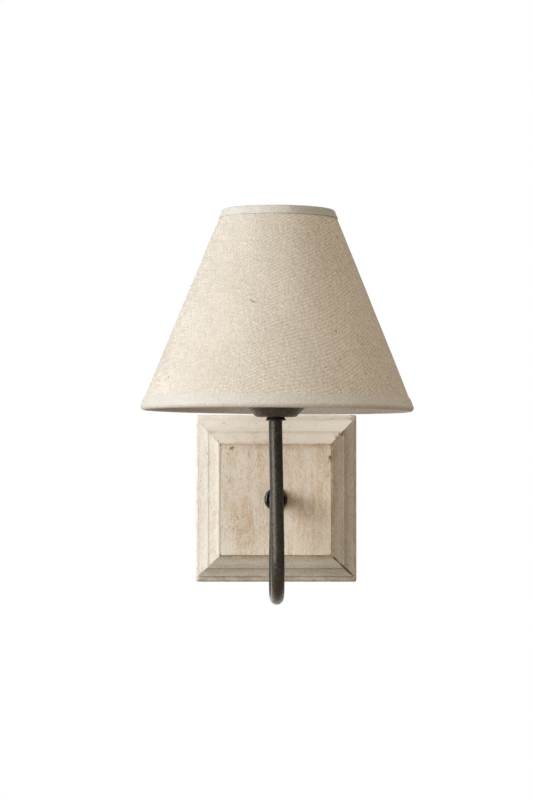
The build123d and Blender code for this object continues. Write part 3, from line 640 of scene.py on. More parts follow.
def panel():
    side, corner = 150, 6
    hx = FRAME_IN - 0.02
    count = 4 * (side + corner)
    bore = 5.3

    def circle(r):
        ref = box_ring(hx, hx, 2.8, side, corner)
        return [(r * x / math.hypot(x, z), r * z / math.hypot(x, z)) for x, z in ref]

    rings = []  # (points in x and z, depth y, kind)
    face = 0.45
    inner, outer = circle(bore), box_ring(hx - face, hx - face, 2.8, side, corner)
    steps = 84
    for i in range(steps + 1):
        s = i / steps
        s = s * 0.75 + 0.25 * (1 - (1 - s) ** 2)
        rings.append(([(a[0] + (b[0] - a[0]) * s, a[1] + (b[1] - a[1]) * s) for a, b in zip(inner, outer)], PANEL_Y, "face"))
    for i in range(1, 7):
        a = math.pi / 2 * i / 6
        off = face * math.sin(a)
        rings.append((box_ring(hx - face + off, hx - face + off, 2.8, side, corner), PANEL_Y + face * (1 - math.cos(a)), "edge"))
    # paint lies in the corners, a little below the face
    rings.append((box_ring(hx, hx, 2.8, side, corner), PANEL_Y + 0.9, "side"))
    for y in (PANEL_Y + 1.0, -19.5, -15.0, -10.4):
        rings.append((box_ring(hx, hx, 0.3, side, corner), y, "side"))
    rings.append((box_ring(hx - 0.35, hx - 0.35, 2.6, side, corner), -10.02, "back"))
    rings.append((box_ring(36.3, 36.3, 1.5, side, corner), -10.02, "back"))
    rings.append((box_ring(36.0, 36.0, 1.5, side, corner), -10.4, "pocket"))
    rings.append((box_ring(36.0, 36.0, 1.5, side, corner), -15.1, "pocket"))
    rings.append((box_ring(35.6, 35.6, 1.5, side, corner), -15.48, "pocket"))
    floor_ring = box_ring(35.6, 35.6, 1.5, side, corner)
    for i in range(1, 13):
        s = i / 12
        rings.append(([(a[0] + (b[0] - a[0]) * s, a[1] + (b[1] - a[1]) * s) for a, b in zip(floor_ring, inner)], -15.48, "pocket"))
    rings.append((inner, -19.0, "bore"))
    verts, stain_and_light, glaze_and_shade, grain = [], [], [], []
    for pts, y, kind in rings:
        for x, z in pts:
            yy, g, st = y, 0.0, 0.23
            if kind in ("face", "edge"):
                d = 0.10 * n3(x * 0.05, z * 0.02, 11.0) + 0.06 * n3(x * 0.35, z * 0.045, 12.0)
                d -= dent(x, z)
                reach = max(abs(x), abs(z))
                d -= 0.22 * smooth(40.2, 41.9, reach) * max(0.0, n3(x * 0.4, z * 0.4, 13.0) + 0.15)
                yy = y - d if kind == "face" else y - d * 0.6
                if kind == "edge":
                    # paint has filled most of the groove on the left and along the top
                    fill = max(0.85 * smooth(0.0, 6.0, -x - abs(z)), 0.7 * smooth(0.0, 6.0, z - abs(x)))
                    yy = PANEL_Y + (yy - PANEL_Y) * (1 - fill)
                side = (0.16 if x < 0 else 0.95) if abs(x) > abs(z) else (0.5 if z > 0 else 0.7)
                g = 0.8 * side * smooth(42.05, 42.85, reach) * (0.55 + 0.45 * n3(x * 0.12, z * 0.12, 14.0)) + clamp(dent(x, z) * 1.6)
                # a brown smear under the top edge
                g += 0.42 * smooth(37.5, 42.3, z) * clamp(0.6 + 0.6 * n3(x * 0.15, z * 0.3, 17.0))
                # old glaze gathers along the top and in the lower left of the face
                low = math.exp(-(((x + 31) / 13) ** 2) - ((z + 17) / 17) ** 2)
                high = smooth(34, 42, z)
                st += 0.30 * low + 0.18 * high * (0.5 + 0.5 * n3(x * 0.12, 0, 5.0))
                st += 0.18 * math.exp(-(((x - 30) / 12) ** 2) - ((z - 4) / 22) ** 2)
                st += 0.15 * n3(x * 0.13, z * 0.016, 21.0) + 0.08 * n3(x * 0.5, z * 0.03, 22.0)
                st -= 0.22 * math.exp(-(((x + 38) / 6) ** 2)) * smooth(-10, 20, abs(z + 5))
                pit = n3(x * 0.9, z * 0.42, 31.0)
                g += 0.75 * low * smooth(0.38, 0.62, pit)
            lift = (PLATE_Z - SAG * (BOARD_Y - y)) * smooth(5.4, 12.0, math.hypot(x, z))
            verts.append((x, yy, z + lift))
            glaze_and_shade.append(clamp(g))
            stain_and_light.append(clamp(st))
            grain.append((z + 503.0, x, y))
    piece(
        "centre_panel_worn", verts, grid(len(rings), count, wrap_r=True, wrap_c=True), WOOD, "wall_body",
        ("centre_panel",), 50, {"stain_and_light": stain_and_light, "glaze_and_shade": glaze_and_shade, "grain": grain},
    )


panel()


def board():
    side, corner = 60, 6
    count = 4 * (side + corner)
    hx, hz = 62.5, 65.0
    rings = [(51.0, 38.0, 0.5, -10.0, "face"), (56.0, 55.0, 1.0, -10.0, "face"), (59.6, 61.6, 1.2, -10.0, "face"), (60.1, 62.6, 1.4, -10.0, "face")]
    for i in range(1, 11):
        a = math.pi / 2 * i / 10
        rings.append((hx - 2.4 + 2.4 * math.sin(a), hz - 2.4 + 2.4 * math.sin(a), 1.6, -10.0 + 2.4 * (1 - math.cos(a)), "edge"))
    for y in (-6.4, -5.2, -4.0, -2.8, -1.6, -0.5):
        rings.append((hx, hz, 1.6, y, "edge"))
    rings += [(hx - 0.15, hz - 0.15, 1.6, -0.13, "edge"), (hx - 0.5, hz - 0.5, 1.4, 0.0, "back")]
    rings += [(58.0, 55.0, 1.0, 0.0, "back"), (51.3, 38.3, 0.5, 0.0, "back"), (51.0, 38.0, 0.5, -0.3, "back"), (51.0, 38.0, 0.5, -5.0, "back")]
    verts, stain_and_light, glaze_and_shade, grain, painted_shade = [], [], [], [], []
    for a, b, r, y, kind in rings:
        for x, z in box_ring(a, b, r, side, corner):
            g, st, k = 0.0, 0.26, 1.0
            # painted shade: the board's lower edge and right edge are darkened with the grey-dark tone, the rest of it
            # only a little
            low_edge = z < -60 and abs(z) - 65 > abs(x) - 62.5
            painted_shade.append((0.75 if low_edge else 0.60 if x > 58 else 0.12) * clamp(0.8 + 0.5 * n3((x + z) * 0.12, y * 0.4, 73.0)))
            if kind == "edge":
                along = z if abs(x) / hx > abs(z) / hz else x
                d = 0.12 * n3(along * 0.07, y * 0.1, 41.0 + (x > 0)) + 0.08 * n3(along * 0.4, y * 0.5, 42.0)
                d -= 0.30 * max(0.0, n3(along * 0.28, y * 0.3, 43.0) - 0.2)
                k = 1 + min(0.0, d) / 62.5
                g = (0.45 if z < -60 else 0.2) * smooth(0.1, 0.5, n3(along * 0.15, y * 0.6, 44.0)) * smooth(-8.5, -9.8, y)
                st += 0.16 * n3(along * 0.05, y * 0.2, 45.0) + (0.16 if z < -60 else -0.5 if z > 60 else 0.0)
            if kind == "face":
                g = (0.7 if z < -55 else 0.04 if z > 55 else 0.2) * smooth(61.4, 60.6, max(abs(x), abs(z) - 0.6))
                st += -0.5 if z > 55 else 0.1
            if kind == "back":
                st = 0.75
            verts.append((x * k + BOARD_X, y, z * k + PLATE_Z))
            glaze_and_shade.append(clamp(g))
            stain_and_light.append(clamp(st, -0.5))
            grain.append((x + 907.0, z, y))
    ob = piece(
        "back_board_worn", verts, grid(len(rings), count, wrap_r=True, wrap_c=True), WOOD, "wall_body",
        ("back_board",), 50, {"stain_and_light": stain_and_light, "glaze_and_shade": glaze_and_shade, "grain": grain, "painted_shade": painted_shade},
    )
    # countersunk holes for the two side screws
    for sx in (-1, 1):
        bm = bmesh.new()
        rows = [(70.0, 3.5), (62.45 + BOARD_X * sx, 3.45), (60.75, 1.75), (45.0, 1.75)]
        ringv = []
        for x, r in rows:
            ringv.append([bm.verts.new((sx * x * MM, (-4.4 + r * math.cos(t)) * MM, r * math.sin(t) * MM)) for t in (math.radians(11.25 * i) for i in range(32))])
        for a, b in zip(ringv, ringv[1:]):
            for i in range(32):
                bm.faces.new((a[i], a[(i + 1) % 32], b[(i + 1) % 32], b[i]))
        bm.faces.new(ringv[0])
        bm.faces.new(ringv[-1])
        bmesh.ops.recalc_face_normals(bm, faces=bm.faces)
        cut_me = bpy.data.meshes.new("sink")
        bm.to_mesh(cut_me)
        bm.free()
        cutter = bpy.data.objects.new("sink", cut_me)
        bpy.context.scene.collection.objects.link(cutter)
        mod = ob.modifiers.new("sink", "BOOLEAN")
        mod.operation, mod.solver, mod.object = "DIFFERENCE", "EXACT", cutter
        bpy.context.view_layer.objects.active = ob
        bpy.ops.object.modifier_apply(modifier="sink")
        bpy.data.objects.remove(cutter)
        bpy.data.meshes.remove(cut_me)


board()


# ------------------------------------------------------------------ bronze arm and fittings
def arm():
    pts = [(-8.0, 0.0)]
    pts += line((-8.0, 0.0), (-30.0, 0.0), 11)
    pts += arc((-30.0, 0.0), (-30 - 36 * math.sin(math.pi / 4), -36 + 36 * math.cos(math.pi / 4)), (-66.0, -36.0), 42)
    low = -73.0 + 32.0
    pts += line((-66.0, -36.0), (-66.0, low), 4)
    pts += arc((-66.0, low), (-98.0, -73.0), (-130.0, low), 90)
    pts += line((-130.0, low), (-130.0, 72.0), 150)
    seg = 44
    verts, total = [], 0.0
    rings = []
    prev = pts[0]
    for i, (y, z) in enumerate(pts):
        total += math.hypot(y - prev[0], z - prev[1])
        prev = (y, z)
        a, b = pts[max(0, i - 1)], pts[min(len(pts) - 1, i + 1)]
        ty, tz = b[0] - a[0], b[1] - a[1]
        ln = math.hypot(ty, tz)
        ty, tz = ty / ln, tz / ln
        rings.append((y, z, ty, tz, total))
    shown = lambda y, z: smooth(-27.5, -34, y) * (1 if y > -120 else smooth(57.5, 52, z))

    def lean_at(y, z, s):
        """The bow was bent by hand and is a little twisted, so neither leg is quite upright."""
        front = smooth(-75, -122, y)
        rise = min(1.2, 0.45 - 0.0175 * z) * (1 - smooth(56.5, 60.5, z))
        return rise * front - 0.45 * smooth(45, 100, s) * (1 - front)

    for y, z, ty, tz, s in rings:
        lean = lean_at(y, z, s)
        k = shown(y, z)
        for j in range(seg):
            t = 2 * math.pi * j / seg
            cx, cn = math.cos(t), math.sin(t)
            # normal in the plane of the bow
            ny, nz = -tz, ty
            r = 4.985
            px, py, pz = r * cx, ny * r * cn, nz * r * cn
            d = 0.075 * n3(s * 0.05, cx * 0.7, cn * 0.7 + 5) + 0.045 * n3(s * 0.28, cx * 2.2, cn * 2.2 + 9)
            d -= 0.10 * max(0.0, n3(s * 0.55, cx * 3.2, cn * 3.2 + 2) - 0.25)
            r2 = r + d * k
            verts.append((lean + r2 * cx, y + ny * r2 * cn, z + nz * r2 * cn))
    faces = grid(len(rings), seg)
    base = len(verts)
    thin = rings[::3] if (len(rings) - 1) % 3 == 0 else rings[::3] + [rings[-1]]
    for y, z, ty, tz, s in thin:
        lean = lean_at(y, z, s)
        for j in range(seg):
            t = 2 * math.pi * j / seg
            verts.append((lean + 4.0 * math.cos(t), y - tz * 4.0 * math.sin(t), z + ty * 4.0 * math.sin(t)))
    faces += grid(len(thin), seg, start=base)
    last_out, last_in = (len(rings) - 1) * seg, base + (len(thin) - 1) * seg
    for j in range(seg):
        j2 = (j + 1) % seg
        faces.append((j, j2, base + j2, base + j))
        faces.append((last_out + j, last_out + j2, last_in + j2, last_in + j))
    piece("arm_tube_forged", verts, faces, TUBE, "wall_body", ("arm_tube",), 60)


arm()


def lathe(name, section, seg, place, mat, body, nodes, rough=0.0, seed=0.0, sharp=35, attrs=None):
    """A closed section (radius, height) turned about an axis, with a hand-worked unevenness."""
    verts = []
    m = len(section)
    for j in range(seg):
        t = 2 * math.pi * j / seg
        c, s = math.cos(t), math.sin(t)
        for r, h in section:
            d = rough * (n3(c * r * 0.12 + seed, s * r * 0.12, h * 0.12) + 0.5 * n3(c * r * 0.45, s * r * 0.45 + seed, h * 0.45))
            edge = smooth(5.3, 6.2, r)
            verts.append(place((r + d * edge) * c, (r + d * edge) * s, h))
    faces = grid(seg, m, wrap_r=True, wrap_c=True)
    return piece(name, verts, faces, mat, body, nodes, sharp, attrs)


boss_section = trace(
    (5.04, 0.0), ((9.0, 0.0), 6), ((9.0, 1.3), 3), ((8.55, 3.25), (7.35, 4.2), 10), ((6.75, 3.95), (6.35, 3.1), 6),
    ((5.9, 2.6), (5.04, 2.4), 6), ((5.04, 0.0), 3),
)[:-1]
lathe("boss_turned", boss_section, 128, lambda a, b, h: (a, PANEL_Y - h, b), BOSS, "wall_body", ("boss",), 0.05, 1.0)

collar_section = trace(
    (5.04, 58.3), ((5.5, 58.3), 2), ((7.2, 58.75), 5), ((7.65, 59.1), (7.5, 59.55), 6), ((6.75, 60.3), (6.5, 61.3), 8),
    ((5.04, 61.3), 4), ((5.04, 58.3), 4),
)[:-1]
lathe("arm_collar_turned", collar_section, 128, lambda a, b, h: (a - 0.3, AXIS_Y + b, h), BOSS, "wall_body", ("arm_collar",), 0.05, 2.0)

cup_section = trace(
    (5.1, 61.3), ((13.4, 61.3), 8), ((15.0, 61.72), (16.2, 62.8), 8), ((23.5, 70.7), 18), ((24.4, 71.1), (24.25, 72.0), 8),
    ((23.5, 72.25), (22.9, 71.6), 6), ((15.35, 63.5), 14), ((14.5, 62.62), (13.3, 62.3), 6), ((5.1, 62.3), 6), ((5.1, 61.3), 2),
)[:-1]
lathe("cup_spun", cup_section, 180, lambda a, b, h: (a, AXIS_Y + b, h), BRONZE, "wall_body", ("cup",), 0.12, 3.0)


# ------------------------------------------------------------------ shade
def P(s, n):
    """Radius and height of a point of the shade's section: s up the slant, n outwards."""
    return R0 - SA * s + CA * n, Z0 + CA * s + SA * n


def askew(x, y, z):
    c, s = math.cos(LEAN), math.sin(LEAN)
    return SHIFT + x * c + (z - HUB_Z) * s, y, HUB_Z - x * s + (z - HUB_Z) * c


def on_shade(s, n, phi):
    """phi is 0 in front and grows to the right."""
    r, z = P(s, n)
    a = phi - math.pi / 2
    return askew(r * math.cos(a), AXIS_Y + r * math.sin(a), z)


TURN = math.radians(50)
# The linen was pulled askew as it was glued on: slope of the weft at places across the front, in millimetres
# from the middle, as a share of the warp's spacing
PULLED = [(-105, 0.0), (-55, 0.04), (-40, 0.07), (-22, -0.17), (-2, -0.30), (20, -0.34), (44, -0.205), (66, -0.04), (92, 0.0)]


def pulled(x):
    if x <= PULLED[0][0] or x >= PULLED[-1][0]:
        return 0.0
    for (a, p), (b, q) in zip(PULLED, PULLED[1:]):
        if x <= b:
            return p + (q - p) * (x - a) / (b - a)


DRAWN = [0.0]   # the same, summed in steps of half a millimetre from the far left
for _i in range(1000):
    DRAWN.append(DRAWN[-1] + 2 * pulled(-250 + (_i + 0.5) * 0.5) * 0.5)


def threads(s, phi):
    """Warp and weft counts at a point of the linen, about one thread to the millimetre."""
    r, _ = P(s, 0)
    a = abs(phi)
    g = math.sin(a) if a < TURN else math.sin(TURN) + math.cos(TURN) * (a - TURN)
    x = math.copysign(g, phi) * r
    k = clamp((x + 250) / 0.5, 0, 999.999)
    i = int(k)
    drawn = DRAWN[i] + (DRAWN[i + 1] - DRAWN[i]) * (k - i)
    close = 0.79 - 0.0027 * clamp(x, -33, 74)   # wefts to the millimetre, closer on the left
    return 0.925 * x, drawn - close * (CA * s - 76.3)


def slipped(phi):
    """How far the yarns have slipped: least on the left of the front."""
    d = math.degrees(phi)
    return clamp(smooth(-48, -10, d) + smooth(-95, -135, d)) - 0.7 * smooth(-44, -66, d) * (1 - smooth(-84, -110, d))


def swell(s, phi):
    """The linen isn't dead flat: slow hollows and swells, none at the rims."""
    k = smooth(7.5, 22, s) * (1 - smooth(SLANT - 20, SLANT - 7, s))
    return k * (0.16 + 0.34 * n3(math.cos(phi) * 2.2, math.sin(phi) * 2.2, s * 0.018) + 0.10 * n3(math.cos(phi) * 7, math.sin(phi) * 7, s * 0.06 + 3))


LAP = 9.0   # width of the glued lap down the back


def linen():
    ncol, nrow = 460, 104
    extra = LAP / 60.0
    top = math.pi + extra / 2
    cols = [-top + 2 * top * i / ncol for i in range(ncol + 1)]
    rows = [1.2 + (SLANT - 2.4) * j / nrow for j in range(nrow + 1)]
    verts, flat, cut = [], [], []
    for layer in (0, 1):
        for phi in cols:
            for s in rows:
                r, _ = P(s, 0)
                over = (phi - math.pi) * r          # how far past the middle of the back
                lift = 0.64 * smooth(-LAP / 2 - 5, -LAP / 2 - 0.8, over) if phi > 0 else 0.0
                ph = phi
                if abs(phi) > math.pi - 0.4:        # the lap has the same width at both rims
                    side = 1 if phi > 0 else -1
                    far = (abs(phi) - math.pi) * (60.0 / r if abs(phi) > math.pi else 1.0)
                    ph = side * (math.pi + far)
                n = swell(s, ph) + lift - (0.6 if layer else 0.0)
                verts.append(on_shade(s, n, ph))
                fx, fy = threads(s, ph)
                flat.append((fx, fy, 0.0 if layer == 0 else 40.0))
                cut.append((fx / 0.925, s, slipped(ph)))
    nr = nrow + 1
    nc = ncol + 1
    half = nc * nr
    faces = grid(nc, nr, wrap_c=False) + grid(nc, nr, wrap_c=False, start=half)
    for i in range(nc - 1):
        a, b = i * nr, (i + 1) * nr
        faces.append((a, b, half + b, half + a))
        faces.append((a + nrow, b + nrow, half + b + nrow, half + a + nrow))
    for j in range(nrow):
        faces.append((j, j + 1, half + j + 1, half + j))
        e = ncol * nr
        faces.append((e + j, e + j + 1, half + e + j + 1, half + e + j))
    return piece("shade_linen", verts, faces, LINEN, "shade", ("shade_fabric",), 60, {"flat": flat, "cut": cut})


def lining():
    ncol, nrow = 240, 40
    verts = []
    for n0 in (-0.66, -1.05):
        for i in range(ncol):
            phi = 2 * math.pi * i / ncol
            for j in range(nrow + 1):
                s = 1.2 + (SLANT - 2.4) * j / nrow
                verts.append(on_shade(s, n0 + min(0.0, swell(s, phi)), phi))
    nr = nrow + 1
    half = ncol * nr
    faces = grid(ncol, nr, wrap_r=True, wrap_c=False) + grid(ncol, nr, wrap_r=True, wrap_c=False, start=half)
    for i in range(ncol):
        a, b = i * nr, ((i + 1) % ncol) * nr
        faces.append((a, b, half + b, half + a))
        faces.append((a + nrow, b + nrow, half + b + nrow, half + a + nrow))
    return piece("shade_lining_sheet", verts, faces, LINING, "shade", ("shade_liner",), 60)


def tape(name, node, mid_s, mid_n, r_in, thick, leg_out, leg_in, way, seed, fuzz, mat):
    """A woven tape folded round a rim: outer leg, roll and inner leg, with a lap at the back."""
    r_out = r_in + thick
    n_out, n_in = mid_n + r_out, mid_n - r_out
    path = []   # (s, n, distance along the tape) of the outer skin
    steps = 14
    for i in range(steps):
        path.append((leg_out + (mid_s - leg_out) * i / steps, n_out))
    for i in range(19):
        a = math.pi * i / 18
        path.append((mid_s - way * r_out * math.sin(a), mid_n + r_out * math.cos(a)))
    for i in range(1, 7):
        path.append((mid_s + (leg_in - mid_s) * i / 6, n_in))
    ins = []
    for s, n in path:
        if (s - mid_s) * way > 0:
            ins.append((s, n - thick if n > mid_n else n + thick))
        else:
            ds, dn = s - mid_s, n - mid_n
            ln = math.hypot(ds, dn)
            ins.append((mid_s + ds / ln * r_in, mid_n + dn / ln * r_in))
    loop = path + ins[::-1]
    dist = [0.0]
    for a, b in zip(path, path[1:]):
        dist.append(dist[-1] + math.hypot(b[0] - a[0], b[1] - a[1]))
    dist = dist + dist[::-1]
    ncol = 480
    m = len(loop)
    verts, flat, cut = [], [], []
    for i in range(ncol):
        phi = -math.pi + 2 * math.pi * i / ncol
        back = abs(abs(phi) - math.pi)
        r_mid, _ = P(mid_s, 0)
        lap = 0.34 * (smooth(-4.0, -3.4, phi * r_mid + math.pi * r_mid - 8) if phi < 0 else 0.0)
        lap = 0.34 * (1 - smooth(6.4, 7.0, back * r_mid)) if phi < 0 else 0.34 * (1 - smooth(0.6, 4.0, back * r_mid))
        for k, (s, n) in enumerate(loop):
            outer = k < len(path)
            d = 0.0
            if outer:
                d = 0.05 + 0.07 * n3(phi * r_mid * 0.09, dist[k] * 0.25, seed) + 0.05 * n3(phi * r_mid * 0.45, dist[k] * 0.7, seed + 3)
                d += lap + fuzz * n3(phi * r_mid * 0.62, dist[k] * 0.5, seed + 7)
            at_leg = 1 - clamp(abs(s - leg_out) / abs(leg_out - mid_s)) if n > mid_n else 0.0
            s2 = s + way * at_leg * (0.22 * n3(phi * r_mid * 0.06, 1.0, seed) + 0.12 * n3(phi * r_mid * 0.5, 2.0, seed))
            if (s - mid_s) * way > 0:
                n2 = n + (d if n > mid_n else -d)
            else:
                ds, dn = s - mid_s, n - mid_n
                ln = math.hypot(ds, dn)
                s2, n2 = mid_s + ds / ln * (ln + d), mid_n + dn / ln * (ln + d)
            verts.append(on_shade(s2, n2, phi))
            flat.append((phi * r_mid / 0.9, dist[k] / 0.9, 0.0 if outer else 50.0))
            cut.append((phi * r_mid, -way * dist[k], slipped(phi)))
    return piece(name, verts, grid(ncol, m, wrap_r=True, wrap_c=True), mat, "shade", (node,), 60, {"flat": flat, "cut": cut})


def rim_wire(name, node, s, n, r):
    rc, zc = P(s, n)
    verts = []
    for i in range(220):
        a = 2 * math.pi * i / 220
        for k in range(14):
            b = 2 * math.pi * k / 14
            rr = rc + r * math.cos(b)
            verts.append(askew(rr * math.cos(a), AXIS_Y + rr * math.sin(a), zc + r * math.sin(b)))
    return piece(name, verts, grid(220, 14, wrap_r=True, wrap_c=True), WHITE_WIRE, "shade", (node,), 60)


def fitter():
    """The hub lies level on the lampholder; its three wires go out to the lower rim."""
    section = trace((14.1, 94.6), ((20.2, 94.6), 4), ((20.5, 95.3), (20.2, 96.0), 6), ((14.1, 96.0), 4), ((14.1, 94.6), 2))[:-1]
    verts, faces = [], []
    m = len(section)
    for j in range(96):
        t = 2 * math.pi * j / 96
        for r, h in section:
            verts.append((r * math.cos(t), AXIS_Y + r * math.sin(t), h))
    faces += grid(96, m, wrap_r=True, wrap_c=True)
    rc, zc = P(1.5, -2.7)
    for deg in (90, 210, 330):
        a = math.radians(deg)
        ca_, sa_ = math.cos(a), math.sin(a)
        end = askew(rc * ca_, AXIS_Y + rc * sa_, zc)
        start = (18.4 * ca_, AXIS_Y + 18.4 * sa_, 96.2)
        p1 = (23.5 * ca_, AXIS_Y + 23.5 * sa_, 95.4)
        path = []
        for i in range(41):
            t = i / 40
            # a short level foot on the hub, then straight down to the rim
            k = smooth(0.0, 0.18, t)
            x = start[0] + (end[0] - start[0]) * t
            y = start[1] + (end[1] - start[1]) * t
            straight = p1[2] + (end[2] - p1[2]) * clamp((t - 0.06) / 0.94)
            z = start[2] * (1 - k) + straight * k
            path.append(Vector((x, y, z)))
        base = len(verts)
        for i, p in enumerate(path):
            tan = (path[min(40, i + 1)] - path[max(0, i - 1)]).normalized()
            side = tan.cross(Vector((0, 0, 1))).normalized()
            up = side.cross(tan)
            for k in range(14):
                b = 2 * math.pi * k / 14
                q = p + (side * math.cos(b) + up * math.sin(b)) * 1.6
                verts.append(tuple(q))
        faces += grid(41, 14, start=base)
        faces.append(tuple(base + k for k in range(14)))
        faces.append(tuple(base + 40 * 14 + k for k in range(14)))
    return piece("shade_fitter_wire", verts, faces, WHITE_WIRE, "shade", ("shade_fitter",), 45)


HUSKS = [
    (*threads(80.0, math.radians(-14.9)), 2.3, 0.85, (0.33, 0.296, 0.285)),
    (*threads(57.5, math.radians(31.8)), 0.62, 0.62, (0.14, 0.105, 0.07)),
    (*threads(35.5, math.radians(30.6)), 0.65, 0.65, (0.33, 0.25, 0.17)),
    (*threads(134.0, math.radians(59.3)), 0.75, 0.7, (0.33, 0.17, 0.12)),
    (*threads(25.0, math.radians(44.0)), 0.55, 0.6, (0.30, 0.22, 0.15)),
    (*threads(100.0, math.radians(140.0)), 1.6, 0.7, (0.2, 0.14, 0.09)),
    (*threads(40.0, math.radians(-120.0)), 0.8, 0.9, (0.2, 0.14, 0.09)),
    (*threads(22.0, math.radians(-58.0)), 0.6, 0.6, (0.25, 0.20, 0.15)),
]
LINEN = cloth("linen", "flat", (0.82, 0.762, 0.682), (0.355, 0.302, 0.243), 1.1, 0.42, 0.10, wander=0.55, contrast=0.49, husks=HUSKS, nubs=1.4)
TAPE = cloth("trim_tape", "flat", (0.735, 0.705, 0.66), (0.43, 0.40, 0.36), 1.2, 0.28, 0.05, contrast=0.8, nubs=1.6, bias=128)
# painted shade: the top tape is darkened on its right
SHADED_TAPE = cloth(
    "shaded_tape", "flat", (0.76, 0.74, 0.71), (0.43, 0.40, 0.365), 1.3, 0.30, 0.05, contrast=0.9, nubs=1.8, bias=128,
    shade_patch=(3.0, 15.0, 46.0, 60.0, 0.55, (0.34, 0.345, 0.30)),
)
cloth_piece = linen()
lining()
top_tape = tape("top_tape", "top_trim", SLANT - 1.45, -1.775, 1.855, 0.45, SLANT - 6.6, SLANT - 5.6, -1, 61.0, 0.16, SHADED_TAPE)
low_tape = tape("bottom_tape", "bottom_trim", 1.5, -2.1, 2.18, 0.5, 8.0, 6.5, 1, 67.0, 0.07, TAPE)
rim_wire("rim_wire_low", "shade_bottom_ring", 1.5, -2.7, 1.45)
rim_wire("rim_wire_top", "shade_top_ring", SLANT - 1.45, -2.35, 1.2)
fitter()

# ------------------------------------------------------------------ parts that keep their built shape
FINISH = {
    "zinc_steel": ZINC, "brass": BRASS, "holder_plastic": HOLDER, "white_wire": WHITE_WIRE, "bulb_glass": FROST,
    "bulb_metal": NICKEL, "bulb_black": BLACK_GLASS, "bulb_filament": FILAMENT, "terminal_nylon": NYLON,
    "brown_wire": BROWN_WIRE, "blue_wire": BLUE_WIRE, "green_wire": GREEN_WIRE, "dark_bronze": BRONZE,
    "limed_wood": WOOD, "linen": LINEN, "trim_tape": TAPE, "shade_lining": LINING,
}
SLOT_OF = {s["node"]: s["material_slot"] for s in frame["record"]["subparts"]}
for node, ob in frame["nodes"].items():
    mat = FINISH[SLOT_OF[node]]
    if not ob.material_slots:
        continue
    for sl in ob.material_slots:
        sl.link = "OBJECT"
        sl.material = mat

# ------------------------------------------------------------------ floor, light and camera
floor_me = bpy.data.meshes.new("floor")
floor_me.from_pydata([(-9, -9, 0), (9, -9, 0), (9, 9, 0), (-9, 9, 0)], [], [(0, 1, 2, 3)])
floor = bpy.data.objects.new("floor", floor_me)
floor.location = (0, 0, -0.52)
bpy.context.scene.collection.objects.link(floor)
fm = bpy.data.materials.new("floor")
fm.use_nodes = True
ft = fm.node_tree
ft.nodes.clear()
f_out = ft.nodes.new("ShaderNodeOutputMaterial")
f_mix = ft.nodes.new("ShaderNodeMixShader")
f_dif = ft.nodes.new("ShaderNodeBsdfDiffuse")
f_dif.inputs["Color"].default_value = (0.10, 0.09, 0.08, 1)
f_emi = ft.nodes.new("ShaderNodeEmission")
f_emi.inputs["Color"].default_value = (1, 1, 1, 1)
f_emi.inputs["Strength"].default_value = 1.0
f_ray = ft.nodes.new("ShaderNodeLightPath")
ft.links.new(f_ray.outputs["Is Camera Ray"], f_mix.inputs[0])
ft.links.new(f_dif.outputs[0], f_mix.inputs[1])
ft.links.new(f_emi.outputs[0], f_mix.inputs[2])
ft.links.new(f_mix.outputs[0], f_out.inputs[0])
floor_me.materials.append(fm)
# only the camera sees the floor; the studio light reaches the lamp from all round
floor.visible_diffuse = False
floor.visible_glossy = False
floor.visible_transmission = False
floor.visible_shadow = False

SKY = {
    "front_left": (0.74, 0.84, 0.90), "front_right": (1.38, 1.13, 0.82), "back_left": (0.04, 0.04, 0.04), "back_right": (0.48, 0.49, 0.45),
    "level_left": (0.18, 0.16, 0.13), "level_right": (0.19, 0.165, 0.13), "level_back_left": (0.80, 0.76, 0.69), "level_back_right": (0.13, 0.14, 0.20),
    "below": (0.41, 0.33, 0.25),
}
world = bpy.data.worlds.new("studio")
bpy.context.scene.world = world
world.use_nodes = True
wt = world.node_tree
wt.nodes.clear()
w_out = wt.nodes.new("ShaderNodeOutputWorld")
w_mix = wt.nodes.new("ShaderNodeMixShader")
w_amb = wt.nodes.new("ShaderNodeBackground")
w_amb.inputs["Strength"].default_value = 1.0
w_dir = wt.nodes.new("ShaderNodeTexCoord")
w_xyz = wt.nodes.new("ShaderNodeSeparateXYZ")
wt.links.new(w_dir.outputs["Generated"], w_xyz.inputs[0])


def w_step(axis, a, b):
    n = wt.nodes.new("ShaderNodeMapRange")
    n.interpolation_type, n.clamp = "SMOOTHSTEP", True
    wt.links.new(w_xyz.outputs[axis], n.inputs[0])
    n.inputs[1].default_value, n.inputs[2].default_value = a, b
    return n.outputs[0]


def w_blend(f, a, b):
    n = wt.nodes.new("ShaderNodeMix")
    n.data_type = "RGBA"
    wt.links.new(f, n.inputs[0])
    for i, v in ((6, a), (7, b)):
        if isinstance(v, tuple):
            n.inputs[i].default_value = (*v, 1.0)
        else:
            wt.links.new(v, n.inputs[i])
    return n.outputs[2]


